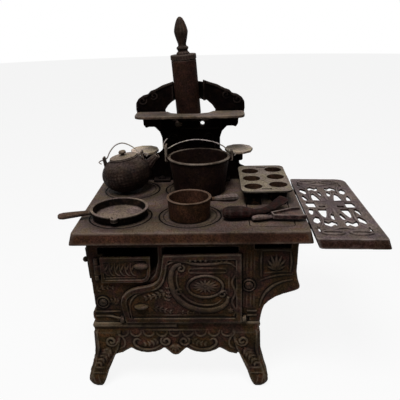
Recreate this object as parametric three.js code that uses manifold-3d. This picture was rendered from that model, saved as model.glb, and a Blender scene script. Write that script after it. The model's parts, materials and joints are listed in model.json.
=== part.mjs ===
// A cast iron toy kitchen stove with its kettle, pots, pans and tools.
// Lengths are millimetres. x = 0 is the middle of the top plate, y = 0 its front edge,
// z = 0 the floor, and y grows towards the back.
import * as THREE from 'three';
import { mergeVertices } from 'three/addons/utils/BufferGeometryUtils.js';
import Module from 'manifold-3d';

const wasm = await Module();
wasm.setup();

// Clearances and walls that every casting shares
const fit = 0.3;
const cutOver = 3;
const bodyWall = 3;
const doorGap = 0.6;
const pivotGap = 0.3;
const quarterTurn = Math.PI / 2;
const roundSides = 32;
const wireSides = 6;
const smallSides = 14;

// Top plate
const plateWidth = 206;
const plateDepth = 160;
const plateTop = 164;
const plateThick = 4;
const plateCorner = 4;
const skirtHeight = 10.5;
const skirtFlare = 2.5;
const skirtWall = 3;

// Round lids and the reservoir lid
const lidRadius = 28.5;
const lidThick = 2.2;
const lidLedge = 2.6;
const lidBevel = 0.5;
const lidColumnLeft = -65.6;
const lidColumnMiddle = -1.5;
const lidRowFront = 38.7;
const lidRowBack = 113;
const lifterSlotWidth = 8;
const lifterSlotDepth = 2.8;
const lifterSlotPlace = 14;
const tankLidLeft = 52;
const tankLidWidth = 39;
const tankLidFront = 12;
const tankLidDepth = 126;
const tankLidCorner = 4;

// Body outline
const bodyFront = 9;
const bodyDepth = 142;
const plateOverhang = 9.6;
const bodyLeft = plateWidth / 2 - plateOverhang;
const wallTaper = 3.6;
const baseTop = 69.7;
const plinthHeight = 14;
const plinthBulge = 3.4;
const casingWidth = 41.3;
const wallRight = plateWidth / 2 - casingWidth;
const wingReach = 35.3;
const wingTipHeight = 36;
const plinthBulgeShares = [[0.5, 0.9], [0.9, 0.72], [1, 0.5], [0.86, 0.26], [0.45, 0.1], [0.42, 0]];
const wingCurveShares = [[0, 0], [0.05, 0.31], [0.145, 0.52], [0.42, 0.73], [0.773, 0.85], [0.95, 0.92],
  [1, 1], [0.95, 1.14], [0.9, 1.42]];
const wingTopShare = 0.932;
const wingSteps = 14;

// Legs and apron
const baseSetLeft = 0.2;
const baseSetRight = 0.7;
const baseLeft = bodyLeft - baseSetLeft;
const baseRight = wallRight - baseSetRight;
const baseFront = 8;
const baseWall = 3.2;
const rimHeight = 8;
const floorThick = 2.4;
const floorDrop = 1.2;
const legHeight = 64;
const legWidth = 25.5;
const legProud = 0.9;
const footFlare = 8.6;
const forwardFlareShare = 0.62;
const legCorner = 2.6;
const legLevelShares = [
  [1, -0.2, 1, 1], [0.92, 0, 0.97, 1], [0.78, 0, 0.93, 1], [0.64, 0, 0.85, 1],
  [0.53, 0.12, 0.73, 1.05], [0.41, 0.36, 0.6, 1.1], [0.29, 0.68, 0.46, 1.2], [0.18, 0.93, 0.37, 1.5],
  [0.11, 0.95, 0.3, 1.6], [0.05, 0.8, 0.23, 1.5], [0, 0.45, 0.15, 1.3]];
const apronCusp = 41.2;
const apronShift = -1.6;
const apronDrop = 8.3;
const apronInset = 24;
const apronShares = [[0, 1], [0.05, 0.94], [0.09, 0.7], [0.14, 0.36], [0.2, 0], [0.27, 0.33], [0.37, 0.58],
  [0.5, 0.68], [0.62, 0.58], [0.72, 0.32], [0.79, 0], [0.87, 0.3], [0.95, 0.64], [1.1, 0.9]];

// Oven door, fire door and the openings behind them
const doorThick = 2.8;
const doorRim = 1.4;
const ovenInset = 31.6;
const ovenPost = 16.8;
const ovenLeft = ovenInset - bodyLeft;
const ovenBottom = 71.2;
const ovenWidth = wallRight - ovenPost - ovenLeft;
const ovenHeight = 69.5;
const ovenRimWidth = 5;
const ovenLap = 2.4;
const bandTop = 146.2;
const ovenBandLeft = -26;
const ovenHingeHeight = 74;
const ovenHingeSet = 2.4;
const trunnionRadius = 1.5;
const trunnionLength = 3.6;
const ovenLugWidth = 3.4;
const ovenLugRadius = 3.1;
const heelDepth = 1.3;
const heelHeight = 6.2;
const medallionAcross = 34;
const medallionUp = 24;
const medallionRing = 2;
const medallionShare = [0.69, 0.54];
const ledgeHandleWidth = 13.5;
const ledgeHandleOut = 5.4;
const ledgeHandleThick = 4.4;
const ledgeHandleShare = [0.14, 0.252];
const ovenShares = [[0, 0], [-0.02, 0.16], [-0.034, 0.3], [-0.022, 0.385], [0.012, 0.45], [0.06, 0.5],
  [0.12, 0.53], [0.2, 0.552], [0.25, 0.575], [0.285, 0.615], [0.308, 0.68], [0.325, 0.77],
  [0.335, 0.88], [0.346, 0.985], [0.993, 1], [1, 0]];
const fireInset = 12.2;
const fireLeft = fireInset - bodyLeft;
const fireBottom = 113.3;
const ovenStepShare = 0.325;
const doorSpacing = 9.4;
const fireWidth = ovenLeft + ovenStepShare * ovenWidth - doorSpacing - fireLeft;
const fireHeight = 24.6;
const fireRimWidth = 3;
const fireRim = 0.9;
const fireShares = [[0, 0], [0.83, 0], [0.93, 0.08], [0.985, 0.25], [1, 0.5], [1, 1], [0, 1]];
const fireOpeningShares = [[0.05, 0.09], [0.8, 0.09], [0.85, -0.02], [0.96, 0], [1.08, 0.19],
  [1.145, 0.56], [1.155, 0.9], [1.155, 1], [-0.045, 1], [-0.045, 0.8], [0.05, 0.8]];
const fireLatchWidth = 13.5;
const fireLatchHeight = 6;
const fireLatchOut = 4.6;
const fireLatchShare = [0.82, 0.67];
const hingeSet = 2.4;
const hingeOut = 3.8;
const hingePinRadius = 0.9;
const knuckleRadius = 2.1;
const lugHeight = 5;
const hingeInset = 2.4;
const pinHeadRadius = 1.7;
const pinHeadHeight = 1.2;
const wingSlotLeft = 55.9;
const wingSlotWidth = 32;
const wingSlotHeight = 5;

// Side door in the left wall
const sideDoorFront = 19;
const sideDoorWidth = 52;
const sideDoorUp = 26.5;
const sideDoorHeight = 31;
const sideDoorLap = 2.6;
const sideDoorRimWidth = 4;
const knobRadius = 2.75;
const knobStem = 1.3;
const knobOut = 3.4;
const knobInset = 5.5;
const knobShare = 0.56;

// Firebox
const partitionThick = 2.4;
const partitionShares = [[0, 0], [0.5, 0], [0.68, 0.05], [0.79, 0.13], [0.9, 0.25], [0.955, 0.4],
  [0.98, 0.6], [0.985, 1]];
const partitionFloor = 106.6;
const partitionReach = 61.5;
const ledgeRibWidth = 22;
const ledgeRibDepth = 4;
const ledgeRibThick = 2.4;
const grateWidth = 26;
const grateEndGap = 9;
const grateThick = 2;
const grateBars = 4;
const grateBarWidth = 2.6;
const grateRail = 4;
const grateFoot = 2.4;
const grateSet = 4;

// Screws
const screwRadius = 1.9;
const screwHeadRadius = 3.9;
const screwHeadHeight = 2.2;
const screwHole = 0.3;
const slotWidth = 0.9;
const slotDepth = 1;
const nutAcross = 7;
const nutThick = 3.2;
const tieEndOver = 1.5;
const tieInset = 11.1;
const tiePostInset = 10.6;
const tieLeft = [tieInset - bodyLeft, 91.2];
const tieRight = [wallRight - tiePostInset, 108];
const screwRingRadius = 5.6;
const screwRingWidth = 0.9;
const screwRingOut = 0.8;
const baseLugWidth = 10;
const baseLugDepth = 9;
const baseLugHeight = 8;
const baseScrewInset = 15;
const baseScrewSet = 5;
const baseScrewLength = 9;
const footScrewSpread = 33;
const footScrewLength = 11;
const backLugWidth = 12;
const backLugHeight = 9;

// High back
const highBackCentre = -3.9;
const highBackFront = 146;
const highBackThick = 4;
const highBackHeight = 113;
const highBackTop = plateTop + highBackHeight;
const highBackHalf = 63;
const footTabWidth = 18;
const footTabDepth = 9;
const footTabThick = 3;
const highBackShares = [[1, 0], [1, 0.08], [0.96, 0.115], [0.84, 0.145], [0.83, 0.18], [0.85, 0.225],
  [0.865, 0.265], [0.64, 0.265], [0.56, 0.275], [0.5, 0.31], [0.5, 0.42], [0.535, 0.48],
  [0.62, 0.53], [0.72, 0.53], [0.77, 0.52], [0.81, 0.55], [0.815, 0.6], [0.9, 0.64], [0.92, 0.7],
  [0.915, 0.76], [0.87, 0.8], [0.79, 0.83], [0.71, 0.84], [0.66, 0.87], [0.58, 0.885],
  [0.46, 0.92], [0.32, 0.945], [0.15, 0.98], [0, 1]];
const archShares = [[0, 0.83], [0.16, 0.81], [0.28, 0.78], [0.37, 0.735], [0.425, 0.69], [0.41, 0.65],
  [0.34, 0.615], [0, 0.615]];
const shelfHoleRadius = 2.4;
const shelfHoleSpread = 12.7;
const shelfHoleUp = 63.8;
const shelfHoleHeight = plateTop + shelfHoleUp;
const pipeX = -5.5;
const pipeY = 148;
const seatHeight = 72;
const seatTop = plateTop + seatHeight;
const seatThick = 4;
const seatRadius = 14;
const spigotRadius = 8;
const spigotHeight = 25;
const collarWall = 2.4;
const collarReach = 34;
const collarTop = seatTop + collarReach;
const collarHeight = 18.5;

// Warming shelf and the two teapot shelves
const warmHeight = 76.7;
const warmTop = plateTop + warmHeight;
const warmThick = 3;
const warmHalf = 57;
const warmFront = 117;
const warmCorner = 11;
const notchHalf = 24;
const notchDepth = 15;
const flangeHalf = 23;
const flangeDrop = 16;
const flangeThick = 2.6;
const teapotHeight = 34;
const teapotTop = plateTop + teapotHeight;
const teapotThick = 2.8;
const teapotHalfWidth = 15.5;
const teapotHalfDepth = 18;
const teapotSpread = 52;
const teapotY = 152;
const teapotStemRadius = 1.6;
const teapotStemLength = 6;
const teapotBossRadius = 4.4;

// Stovepipe and its cap
const pipeRadius = 13;
const pipeWall = 1.5;
const pipeLength = 56.6;
const pipeLean = 3.9 * Math.PI / 180;
const capRadius = 13.4;
const capThick = 5.5;
const capPlug = 4;
const finialHeight = 37;
const finialRadius = 7.15;
const finialShares = [[0.96, 0], [0.96, 0.05], [0.72, 0.09], [0.72, 0.12], [0.88, 0.16], [0.86, 0.2],
  [0.58, 0.24], [0.6, 0.29], [0.8, 0.42], [0.98, 0.57], [1, 0.62], [0.9, 0.72], [0.66, 0.86],
  [0.42, 0.95], [0.2, 0.99], [0, 1]];
const finialSides = 12;

// Side shelf
const shelfGap = 2.3;
const shelfLeft = plateWidth / 2 + shelfGap;
const shelfFront = -9.9;
const shelfDrop = 2.2;
const shelfTop = plateTop - shelfDrop;
const shelfWidth = 60;
const shelfDepth = 160;
const shelfSkirt = 8.2;
const shelfPlate = 2.4;
const shelfWall = 2.4;
const shelfFlare = 2.6;
const shelfCorner = 3;
const shelfBackCorner = 11;
const shelfSag = 1.3 * Math.PI / 180;
const tongueReach = 9;
const tongueWidth = 10;
const tongueThick = 2.6;
const tongueDrop = 3.2;
const tongueSlack = 0.8;
const tongueFront = 28;
const tongueBack = 118;
const latticeHalfWidth = 29.35;
const latticeHalfDepth = 80;
const latticeShift = -1.9;
const sideHoleShares = [[0.5, 0.088], [0.49, -0.088], [0.76, -0.088], [0.81, 0], [0.76, 0.088]];
const middleSlotShares = [[0.19, -0.09], [0.41, -0.09], [0.41, -0.03], [0.19, -0.03]];
const quarterHoleShares = [
  [[0.64, 0.15], [0.74, 0.13], [0.8, 0.17], [0.82, 0.27], [0.77, 0.345], [0.68, 0.25]],
  [[0.21, 0.14], [0.49, 0.14], [0.5, 0.24], [0.46, 0.36], [0.38, 0.42], [0.3, 0.32]],
  [[0.08, 0.31], [0.15, 0.29], [0.24, 0.42], [0.16, 0.48], [0.1, 0.44]],
  [[0.58, 0.4], [0.68, 0.37], [0.8, 0.46], [0.81, 0.55], [0.72, 0.59], [0.58, 0.53]],
  [[0.12, 0.55], [0.24, 0.5], [0.36, 0.55], [0.52, 0.5], [0.5, 0.62], [0.36, 0.67], [0.22, 0.61],
    [0.13, 0.66]],
  [[0.71, 0.69], [0.79, 0.67], [0.79, 0.8], [0.72, 0.82]]];

// Skillet
const skilletX = -66.7;
const skilletY = 40;
const skilletRim = 26.8;
const skilletBase = 24;
const skilletHeight = 8.5;
const skilletWall = 1.8;
const skilletLip = 1.6;
const skilletSpoutWidth = 7;
const skilletSpoutOut = 3;
const skilletHeading = 194 * Math.PI / 180;
const skilletHandle = { length: 30.5, sway: 1, rise: -1, width: 12.4, thickness: 5.2 };
const skilletHandleShares = [[0, 0, 0, 0.62, 0.8], [0.25, 0, 0.25, 0.56, 0.9], [0.6, 0, 0.65, 0.85, 1],
  [0.85, 0, 1, 1, 0.95], [0.96, 0, 1, 0.82, 0.8], [1, 0, 1, 0.4, 0.5]];

// Saucepan
const saucepanX = -2;
const saucepanY = 36.5;
const saucepanRim = 20.4;
const saucepanBase = 18.5;
const saucepanHeight = 19.5;
const saucepanWall = 1.8;
const saucepanLip = 1.3;
const saucepanHeading = 10 * Math.PI / 180;
const saucepanHandle = { length: 27, sway: 1, rise: 1, width: 8.8, thickness: 7.6 };
const saucepanHandleShares = [[0, 0, 0, 0.5, 0.5], [0.2, 0, 0, 0.55, 0.55], [0.5, 0, 0, 0.9, 0.9],
  [0.8, 0, 0, 1, 1], [0.94, 0, 0, 0.85, 0.85], [1, 0, 0, 0.45, 0.45]];
const saucepanHandleDrop = 4.4;

// Kettle
const kettleX = -70;
const kettleY = 110;
const kettleLean = 9 * Math.PI / 180;
const kettleRadius = 26;
const kettleHalfHeight = 19.4;
const kettleWall = 2;
const kettleFoot = 9;
const kettleMouth = 12.6;
const kettleNeck = 1.4;
const kettleSteps = 13;
const kettleSides = 44;
const kettleLidRadius = 14.2;
const kettleLidThick = 1.6;
const kettleLidPlug = 2.4;
const kettleKnobRadius = 4;
const kettleKnobHeight = 5.6;
const kettleKnobShares = [[0.5, 0], [0.45, 0.25], [0.95, 0.45], [1, 0.68], [0.7, 0.94], [0, 1]];
const kettleEarSpread = 20;
const kettleEarWidth = 7;
const kettleEarThick = 2.4;
const kettleEarTop = 21;
const kettleEarFoot = 8;
const kettlePivotHeight = 17.6;
const kettleBailHeight = 15;
const kettleBailLean = 30 * Math.PI / 180;
const kettleBailShares = [[-0.96, 0.13], [-0.8, 0.45], [-0.6, 0.73], [-0.36, 0.93], [0, 1], [0.37, 0.82],
  [0.75, 0.45], [0.96, 0.13]];
const kettleHookOut = 5;
const kettleHookDrop = 3.6;
const spoutReach = 35.5;
const spoutRoot = 20;
const spoutRise = 13.5;
const spoutStart = 2;
const spoutWidth = 12;
const spoutShares = [[0, 0, 0, 1.05, 1.3], [0.35, 0, 0.3, 0.95, 1], [0.7, 0, 0.72, 0.8, 0.7],
  [1, 0, 1, 0.72, 0.5]];
const wireRadius = 0.65;
const wireHole = 0.6;

// Stew pot
const potX = 5.4;
const potY = 110;
const potRim = 31.6;
const potBase = 26.2;
const potHeight = 37.2;
const potWall = 2;
const potBead = 1.5;
const potEarOut = 3.2;
const potEarThick = 2.4;
const potEarWidth = 9;
const potEarFoot = 5;
const potLeftEarRise = 12;
const potRightEarRise = 5.6;
const potLeftPivot = 7.4;
const potRightPivot = 2.6;
const potBailHeight = 11.4;
const potBailShares = [[-1, 0.06], [-0.8, 0.42], [-0.55, 0.72], [-0.28, 0.93], [0, 1], [0.28, 0.95],
  [0.55, 0.8], [0.8, 0.52], [1, 0.08]];
const potBailLean = 24 * Math.PI / 180;
const potHookOut = 3;
const potHookRise = 11;
const potHookIn = 3.4;

// Muffin pan
const muffinX = 71;
const muffinY = 100.6;
const muffinWidth = 48.8;
const muffinDepth = 85;
const muffinCorner = 8;
const muffinSkirtWidth = 39;
const muffinSkirtDepth = 73;
const muffinSkirtCorner = 4;
const muffinHeight = 15.8;
const muffinRimThick = 2;
const muffinWall = 1.8;
const cupRadius = 8.9;
const cupBase = 7.2;
const cupDepth = 10.5;
const cupColumn = 12.3;
const cupPitch = 25;
const cupShift = 2.3;
const cupSides = 20;
const gripSlotLength = 10;
const gripSlotWidth = 3;
const gripSlotInset = 7;

// Lid lifter and coal shovel
const lifterStart = [28, 27.6];
const lifterHeading = 3 * Math.PI / 180;
const lifter = { length: 61, sway: 21, rise: 12, width: 12.4, thickness: 12 };
const lifterBottomGap = 0.4;
const lifterShares = [[0, 0, 0, 0.5, 0.5], [0.03, 0, 0, 0.8, 0.8], [0.1, 0, 0, 1, 1], [0.27, 0, 0, 1, 1],
  [0.38, 0.02, -0.06, 0.85, 0.84], [0.47, 0.08, -0.14, 0.66, 0.66], [0.6, 0.25, -0.16, 0.66, 0.56],
  [0.74, 0.5, -0.06, 0.85, 0.46], [0.86, 0.76, 0.16, 1.05, 0.36], [0.97, 1, 0.4, 1.15, 0.28]];
const shovelStart = [54, 22.4];
const shovelHeading = 11 * Math.PI / 180;
const shovelGrip = { length: 21, sway: 1, rise: 1, width: 7, thickness: 5.8 };
const shovelGripShares = [[0, 0, 0, 0.4, 0.4], [0.05, 0, 0, 0.75, 0.75], [0.25, 0, 0, 1, 1],
  [0.5, 0, 0, 0.95, 0.9], [0.75, 0, 0, 0.75, 0.62], [1, 0, 0, 0.8, 0.42]];
const bladeLength = 29;
const bladeNeck = 8;
const bladeFront = 20;
const bladeThick = 1.4;
const bladeWallHeight = 4.2;
const bladeStartShare = 0.88;

// Shape helpers: outlines are lists of [across, up] pairs
function outline(points) {
  return new THREE.Shape(points.map(([across, up]) => new THREE.Vector2(across, up)));
}

function placed(shares, across, up, width, height) {
  return shares.map(([x, z]) => [across + x * width, up + z * height]);
}

function mirrored(half) {
  const other = half.filter(([across]) => across !== 0).map(([across, up]) => [-across, up]);
  return [...half, ...other.reverse()];
}

function extruded(shape, depth) {
  return new THREE.ExtrudeGeometry(shape, { depth, bevelEnabled: false, curveSegments: 5 });
}

// A sheet standing up, its outline in x and z, its thickness along y
function standing(points, yLow, thickness) {
  const geometry = extruded(outline(points), thickness);
  geometry.rotateX(quarterTurn);
  geometry.translate(0, yLow + thickness, 0);
  return geometry;
}

// A sheet lying flat, its outline in x and y, its thickness along z
function lying(shape, zLow, thickness) {
  const geometry = extruded(shape, thickness);
  geometry.translate(0, 0, zLow);
  return geometry;
}

// A sheet standing sideways, its outline in y and z, its thickness along x
function sideways(points, xLow, thickness) {
  const geometry = extruded(outline(points), thickness);
  geometry.rotateX(quarterTurn);
  geometry.rotateZ(quarterTurn);
  geometry.translate(xLow, 0, 0);
  return geometry;
}

function box(x0, x1, y0, y1, z0, z1) {
  const geometry = new THREE.BoxGeometry(x1 - x0, y1 - y0, z1 - z0);
  geometry.translate((x0 + x1) / 2, (y0 + y1) / 2, (z0 + z1) / 2);
  return geometry;
}

// A round bar that starts at a point and runs along x, y or z
function rod(axis, radius, length, start, sides = smallSides) {
  const geometry = new THREE.CylinderGeometry(radius, radius, length, sides);
  geometry.translate(0, length / 2, 0);
  if (axis === 'x') geometry.rotateZ(-quarterTurn);
  if (axis === 'z') geometry.rotateX(quarterTurn);
  geometry.translate(...start);
  return geometry;
}

function turned(profile, sides = roundSides) {
  const points = profile.map(([radius, height]) => new THREE.Vector2(radius, height));
  const geometry = new THREE.LatheGeometry(points, sides);
  geometry.rotateX(quarterTurn);
  return geometry;
}

function roundedRect(x0, x1, y0, y1, corners) {
  const [frontLeft, frontRight, backRight, backLeft] = corners;
  const shape = new THREE.Shape();
  shape.moveTo(x0 + frontLeft, y0);
  shape.lineTo(x1 - frontRight, y0);
  shape.quadraticCurveTo(x1, y0, x1, y0 + frontRight);
  shape.lineTo(x1, y1 - backRight);
  shape.quadraticCurveTo(x1, y1, x1 - backRight, y1);
  shape.lineTo(x0 + backLeft, y1);
  shape.quadraticCurveTo(x0, y1, x0, y1 - backLeft);
  shape.lineTo(x0, y0 + frontLeft);
  shape.quadraticCurveTo(x0, y0, x0 + frontLeft, y0);
  return shape;
}

function evenCorners(radius) {
  return [radius, radius, radius, radius];
}

function ellipseShape(x, y, halfX, halfY) {
  const shape = new THREE.Shape();
  shape.absellipse(x, y, halfX, halfY, 0, 2 * Math.PI);
  return shape;
}

function ellipsePoints(x, y, halfX, halfY, sides) {
  return Array.from({ length: sides }, (unused, index) => {
    const turn = 2 * Math.PI * index / sides;
    return [x + halfX * Math.cos(turn), y + halfY * Math.sin(turn)];
  });
}

// Moves an outline sideways by a distance: to its left hand along the order of its points
function offsetLine(points, distance, closed) {
  const last = points.length - 1;
  const normal = (a, b) => {
    const length = Math.hypot(b[0] - a[0], b[1] - a[1]);
    return [(a[1] - b[1]) / length, (b[0] - a[0]) / length];
  };
  return points.map((point, index) => {
    const before = points[index > 0 ? index - 1 : last];
    const after = points[index < last ? index + 1 : 0];
    const first = index > 0 || closed ? normal(before, point) : normal(point, after);
    const second = index < last || closed ? normal(point, after) : normal(before, point);
    const reach = distance / (1 + first[0] * second[0] + first[1] * second[1]);
    return [point[0] + reach * (first[0] + second[0]), point[1] + reach * (first[1] + second[1])];
  });
}

function inset(points, distance) {
  const area = THREE.ShapeUtils.area(points.map(([x, y]) => new THREE.Vector2(x, y)));
  return offsetLine(points, Math.sign(area) * distance, true);
}

// A skin over rings: each station places the same section, and flat caps close both ends
function lofted(section, stations) {
  const count = section.length;
  const vertices = stations.flatMap((place) => section.flatMap((point) => place(point).toArray()));
  const faces = [];
  for (let ring = 0; ring + 1 < stations.length; ring += 1) {
    for (let side = 0; side < count; side += 1) {
      const next = (side + 1) % count;
      const low = ring * count;
      const high = low + count;
      faces.push(low + side, low + next, high + next, low + side, high + next, high + side);
    }
  }
  const cap = THREE.ShapeUtils.triangulateShape(section.map(([x, y]) => new THREE.Vector2(x, y)), []);
  const end = (stations.length - 1) * count;
  cap.forEach(([a, b, c]) => faces.push(c, b, a, end + a, end + b, end + c));
  const geometry = new THREE.BufferGeometry();
  geometry.setAttribute('position', new THREE.Float32BufferAttribute(vertices, 3));
  geometry.setIndex(faces);
  return geometry;
}

// A handle: stations are [along, sway, rise, width, thickness] as shares of its size
function handle(size, shares, sides = 10) {
  const centres = shares.map(([along, sway, rise]) => new THREE.Vector3(
    along * size.length, sway * size.sway, rise * size.rise));
  const section = ellipsePoints(0, 0, 1, 1, sides);
  const stations = centres.map((centre, index) => {
    const before = centres[Math.max(index - 1, 0)];
    const after = centres[Math.min(index + 1, centres.length - 1)];
    const ahead = after.clone().sub(before).normalize();
    const across = new THREE.Vector3(-ahead.y, ahead.x, 0).normalize();
    const up = ahead.clone().cross(across);
    const halfWidth = shares[index][3] * size.width / 2;
    const halfThick = shares[index][4] * size.thickness / 2;
    return ([u, v]) => centre.clone().addScaledVector(across, u * halfWidth)
      .addScaledVector(up, v * halfThick);
  });
  return lofted(section, stations);
}

function wire(points, radius, steps) {
  const curve = new THREE.CatmullRomCurve3(points.map((point) => new THREE.Vector3(...point)));
  const shape = outline(ellipsePoints(0, 0, radius, radius, wireSides));
  return new THREE.ExtrudeGeometry(shape, { steps, extrudePath: curve, bevelEnabled: false });
}

function moved(geometry, x, y, z) {
  geometry.translate(x, y, z);
  return geometry;
}

// Boolean helpers
function toSolid(geometry) {
  const bare = new THREE.BufferGeometry();
  bare.setAttribute('position', geometry.getAttribute('position').clone());
  if (geometry.index) bare.setIndex(geometry.index.clone());
  const merged = mergeVertices(bare);
  const at = merged.getAttribute('position');
  const corner = (index) => new THREE.Vector3().fromBufferAttribute(at, index);
  const faces = [];
  let volume = 0;
  for (let start = 0; start < merged.index.count; start += 3) {
    const [a, b, c] = [0, 1, 2].map((step) => merged.index.getX(start + step));
    if (a !== b && b !== c && c !== a) {
      faces.push([a, b, c]);
      volume += corner(a).dot(corner(b).cross(corner(c)));
    }
  }
  const triVerts = new Uint32Array(faces.flatMap(([a, b, c]) => (volume < 0 ? [a, c, b] : [a, b, c])));
  const vertProperties = new Float32Array(at.array);
  return new wasm.Manifold(new wasm.Mesh({ numProp: 3, vertProperties, triVerts }));
}

function toGeometry(solid) {
  const { vertProperties, triVerts } = solid.getMesh();
  const geometry = new THREE.BufferGeometry();
  geometry.setAttribute('position', new THREE.BufferAttribute(new Float32Array(vertProperties), 3));
  geometry.setIndex(new THREE.BufferAttribute(new Uint32Array(triVerts), 1));
  geometry.computeVertexNormals();
  return geometry;
}

function joined(pieces) {
  return toGeometry(pieces.map(toSolid).reduce((sum, piece) => sum.add(piece)));
}

function carved(body, tools) {
  return toGeometry(tools.map(toSolid).reduce((left, tool) => left.subtract(tool), toSolid(body)));
}

function shared(first, second) {
  return toGeometry(toSolid(first).intersect(toSolid(second)));
}

// A named piece with a material of its own
function piece(name, geometry, color, roughness = 0.72, metalness = 0.55) {
  const mesh = new THREE.Mesh(geometry, new THREE.MeshStandardMaterial({ color, roughness, metalness }));
  mesh.name = name;
  return mesh;
}

const ironDark = 0x2c2622;
const ironBody = 0x3a3029;
const ironTop = 0x544a45;
const ironSkirt = 0x46302a;
const ironTan = 0x6a5f55;
const ironKettle = 0x3d3430;
const ironRust = 0x4a2f28;
const steelWire = 0x7d7b78;

// Heights and faces that follow from the sizes above
const panelBottom = baseTop + fit;
const panelTop = plateTop - plateThick - fit;
const bodyBack = bodyFront + bodyDepth;
const insideFront = bodyFront + bodyWall;
const insideBack = bodyBack - bodyWall;
const cookingTop = plateTop + fit;
const doorBack = bodyFront - doorGap;
const doorFront = doorBack - doorThick;
const ovenHingeY = bodyFront - ovenHingeSet;
const fireHingeX = fireLeft - hingeOut;
const fireHingeY = bodyFront - hingeSet;
const plinthTop = panelBottom + plinthHeight;
const wallFootX = wallTaper - bodyLeft;
const wallLean = Math.atan2(wallTaper, panelTop - plinthTop);

// Edges of the body, seen from the front
function leftEdge() {
  return [[-bodyLeft, panelTop], [wallFootX, plinthTop],
    ...placed(plinthBulgeShares, wallFootX, panelBottom, -plinthBulge, plinthHeight)];
}

function rightEdge() {
  const guide = placed(wingCurveShares, wallRight, panelBottom, wingReach, wingTipHeight);
  const curve = new THREE.SplineCurve(guide.map(([x, z]) => new THREE.Vector2(x, z)));
  const points = curve.getPoints(wingSteps).map((point) => [point.x, point.y]);
  return [...points, [wallRight + wingTopShare * wingReach, panelTop]];
}

function bodyOutline() {
  return [...leftEdge(), ...rightEdge()];
}

function ovenOutline() {
  return placed(ovenShares, ovenLeft, ovenBottom, ovenWidth, ovenHeight);
}

function fireOutline() {
  return placed(fireShares, fireLeft, fireBottom, fireWidth, fireHeight);
}

// Base: one casting with a rim, a floor, four cabriole legs and a scalloped apron between them
function leg() {
  const chamfer = 0.1;
  const wallMark = 0.2;
  const section = [[0, chamfer], [chamfer, 0], [1, 0], [1, wallMark], [wallMark, wallMark],
    [wallMark, 1], [0, 1]];
  const stations = legLevelShares.map(([up, out, inward, thick]) => {
    const along = (mark, flare) => {
      if (mark === 0) return -legProud - out * flare;
      if (mark === chamfer) return legCorner - legProud - out * flare;
      if (mark === wallMark) return thick * baseWall - legProud - out * flare;
      return inward * legWidth - legProud;
    };
    return ([u, v]) => new THREE.Vector3(along(u, footFlare), along(v, footFlare * forwardFlareShare),
      up * legHeight);
  });
  return lofted(section, stations);
}

function apronOutline(centre, half, shift) {
  const scallops = placed(apronShares, 0, apronCusp, half, -apronDrop);
  const left = scallops.slice(1).reverse().map(([across, up]) => [centre + shift - across, up]);
  const right = scallops.map(([across, up]) => [centre + shift + across, up]);
  const top = baseTop - floorDrop;
  return [...left, ...right, [right.at(-1)[0], top], [left[0][0], top]];
}

function legBase() {
  const baseBack = bodyFront + bodyBack - baseFront;
  const midX = (baseRight - baseLeft) / 2;
  const midY = (baseFront + baseBack) / 2;
  const halfX = (baseRight + baseLeft) / 2;
  const halfY = (baseBack - baseFront) / 2;
  const rimBottom = baseTop - rimHeight;
  const rim = box(-baseLeft, baseRight, baseFront, baseBack, rimBottom, baseTop);
  const hollow = box(baseWall - baseLeft, baseRight - baseWall, baseFront + baseWall, baseBack - baseWall,
    rimBottom - cutOver, baseTop + cutOver);
  const floorTop = baseTop - floorDrop;
  const floor = box(-baseLeft + baseWall / 2, baseRight - baseWall / 2, baseFront + baseWall / 2,
    baseBack - baseWall / 2, floorTop - floorThick, floorTop);
  const legs = [[1, 1], [1, -1], [-1, 1], [-1, -1]].map(([fromLeft, fromFront]) => {
    const one = leg();
    one.scale(fromLeft, fromFront, 1);
    return moved(one, fromLeft > 0 ? -baseLeft : baseRight, fromFront > 0 ? baseFront : baseBack, 0);
  });
  const aprons = [
    standing(apronOutline(midX, halfX - apronInset, apronShift), baseFront, baseWall),
    standing(apronOutline(midX, halfX - apronInset, apronShift), baseBack - baseWall, baseWall),
    sideways(apronOutline(midY, halfY - apronInset, 0), -baseLeft, baseWall),
    sideways(apronOutline(midY, halfY - apronInset, 0), baseRight - baseWall, baseWall)];
  const holes = baseScrewPlaces().map(({ x, y }) => rod('z', screwRadius + screwHole, rimHeight + cutOver,
    [x, y, rimBottom]));
  return carved(joined([carved(rim, [hollow]), floor, ...legs, ...aprons]), holes);
}

// Screws that hold the base come up through its floor into lugs on the front and back panels
function baseScrewPlaces() {
  const left = wallFootX + baseScrewInset;
  const right = wallRight - baseScrewInset;
  return [
    { name: 'base_screw_front_left', x: left, y: insideFront + baseScrewSet },
    { name: 'base_screw_front_right', x: right, y: insideFront + baseScrewSet },
    { name: 'base_screw_back_left', x: left, y: insideBack - baseScrewSet },
    { name: 'base_screw_back_right', x: right, y: insideBack - baseScrewSet }];
}

function baseScrewHead() {
  return baseTop - floorDrop - floorThick - fit - screwHeadHeight;
}

function baseLugs(fromFront) {
  const y0 = fromFront ? insideFront - fit : insideBack - baseLugDepth;
  const places = baseScrewPlaces().filter(({ y }) => fromFront === (y < (bodyFront + bodyBack) / 2));
  return places.map(({ x }) => box(x - baseLugWidth / 2, x + baseLugWidth / 2, y0, y0 + baseLugDepth + fit,
    panelBottom, panelBottom + baseLugHeight));
}

function baseLugBores() {
  return baseScrewPlaces().map(({ x, y }) => rod('z', screwRadius + screwHole,
    baseScrewLength + cutOver, [x, y, baseScrewHead()]));
}

// Ribs inside the front and back panels that carry the firebox partition
function ledgeRib(yLow) {
  const left = wallFootX + bodyWall;
  const top = partitionFloor - fit;
  return box(left, left + ledgeRibWidth, yLow, yLow + ledgeRibDepth, top - ledgeRibThick, top);
}

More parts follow.
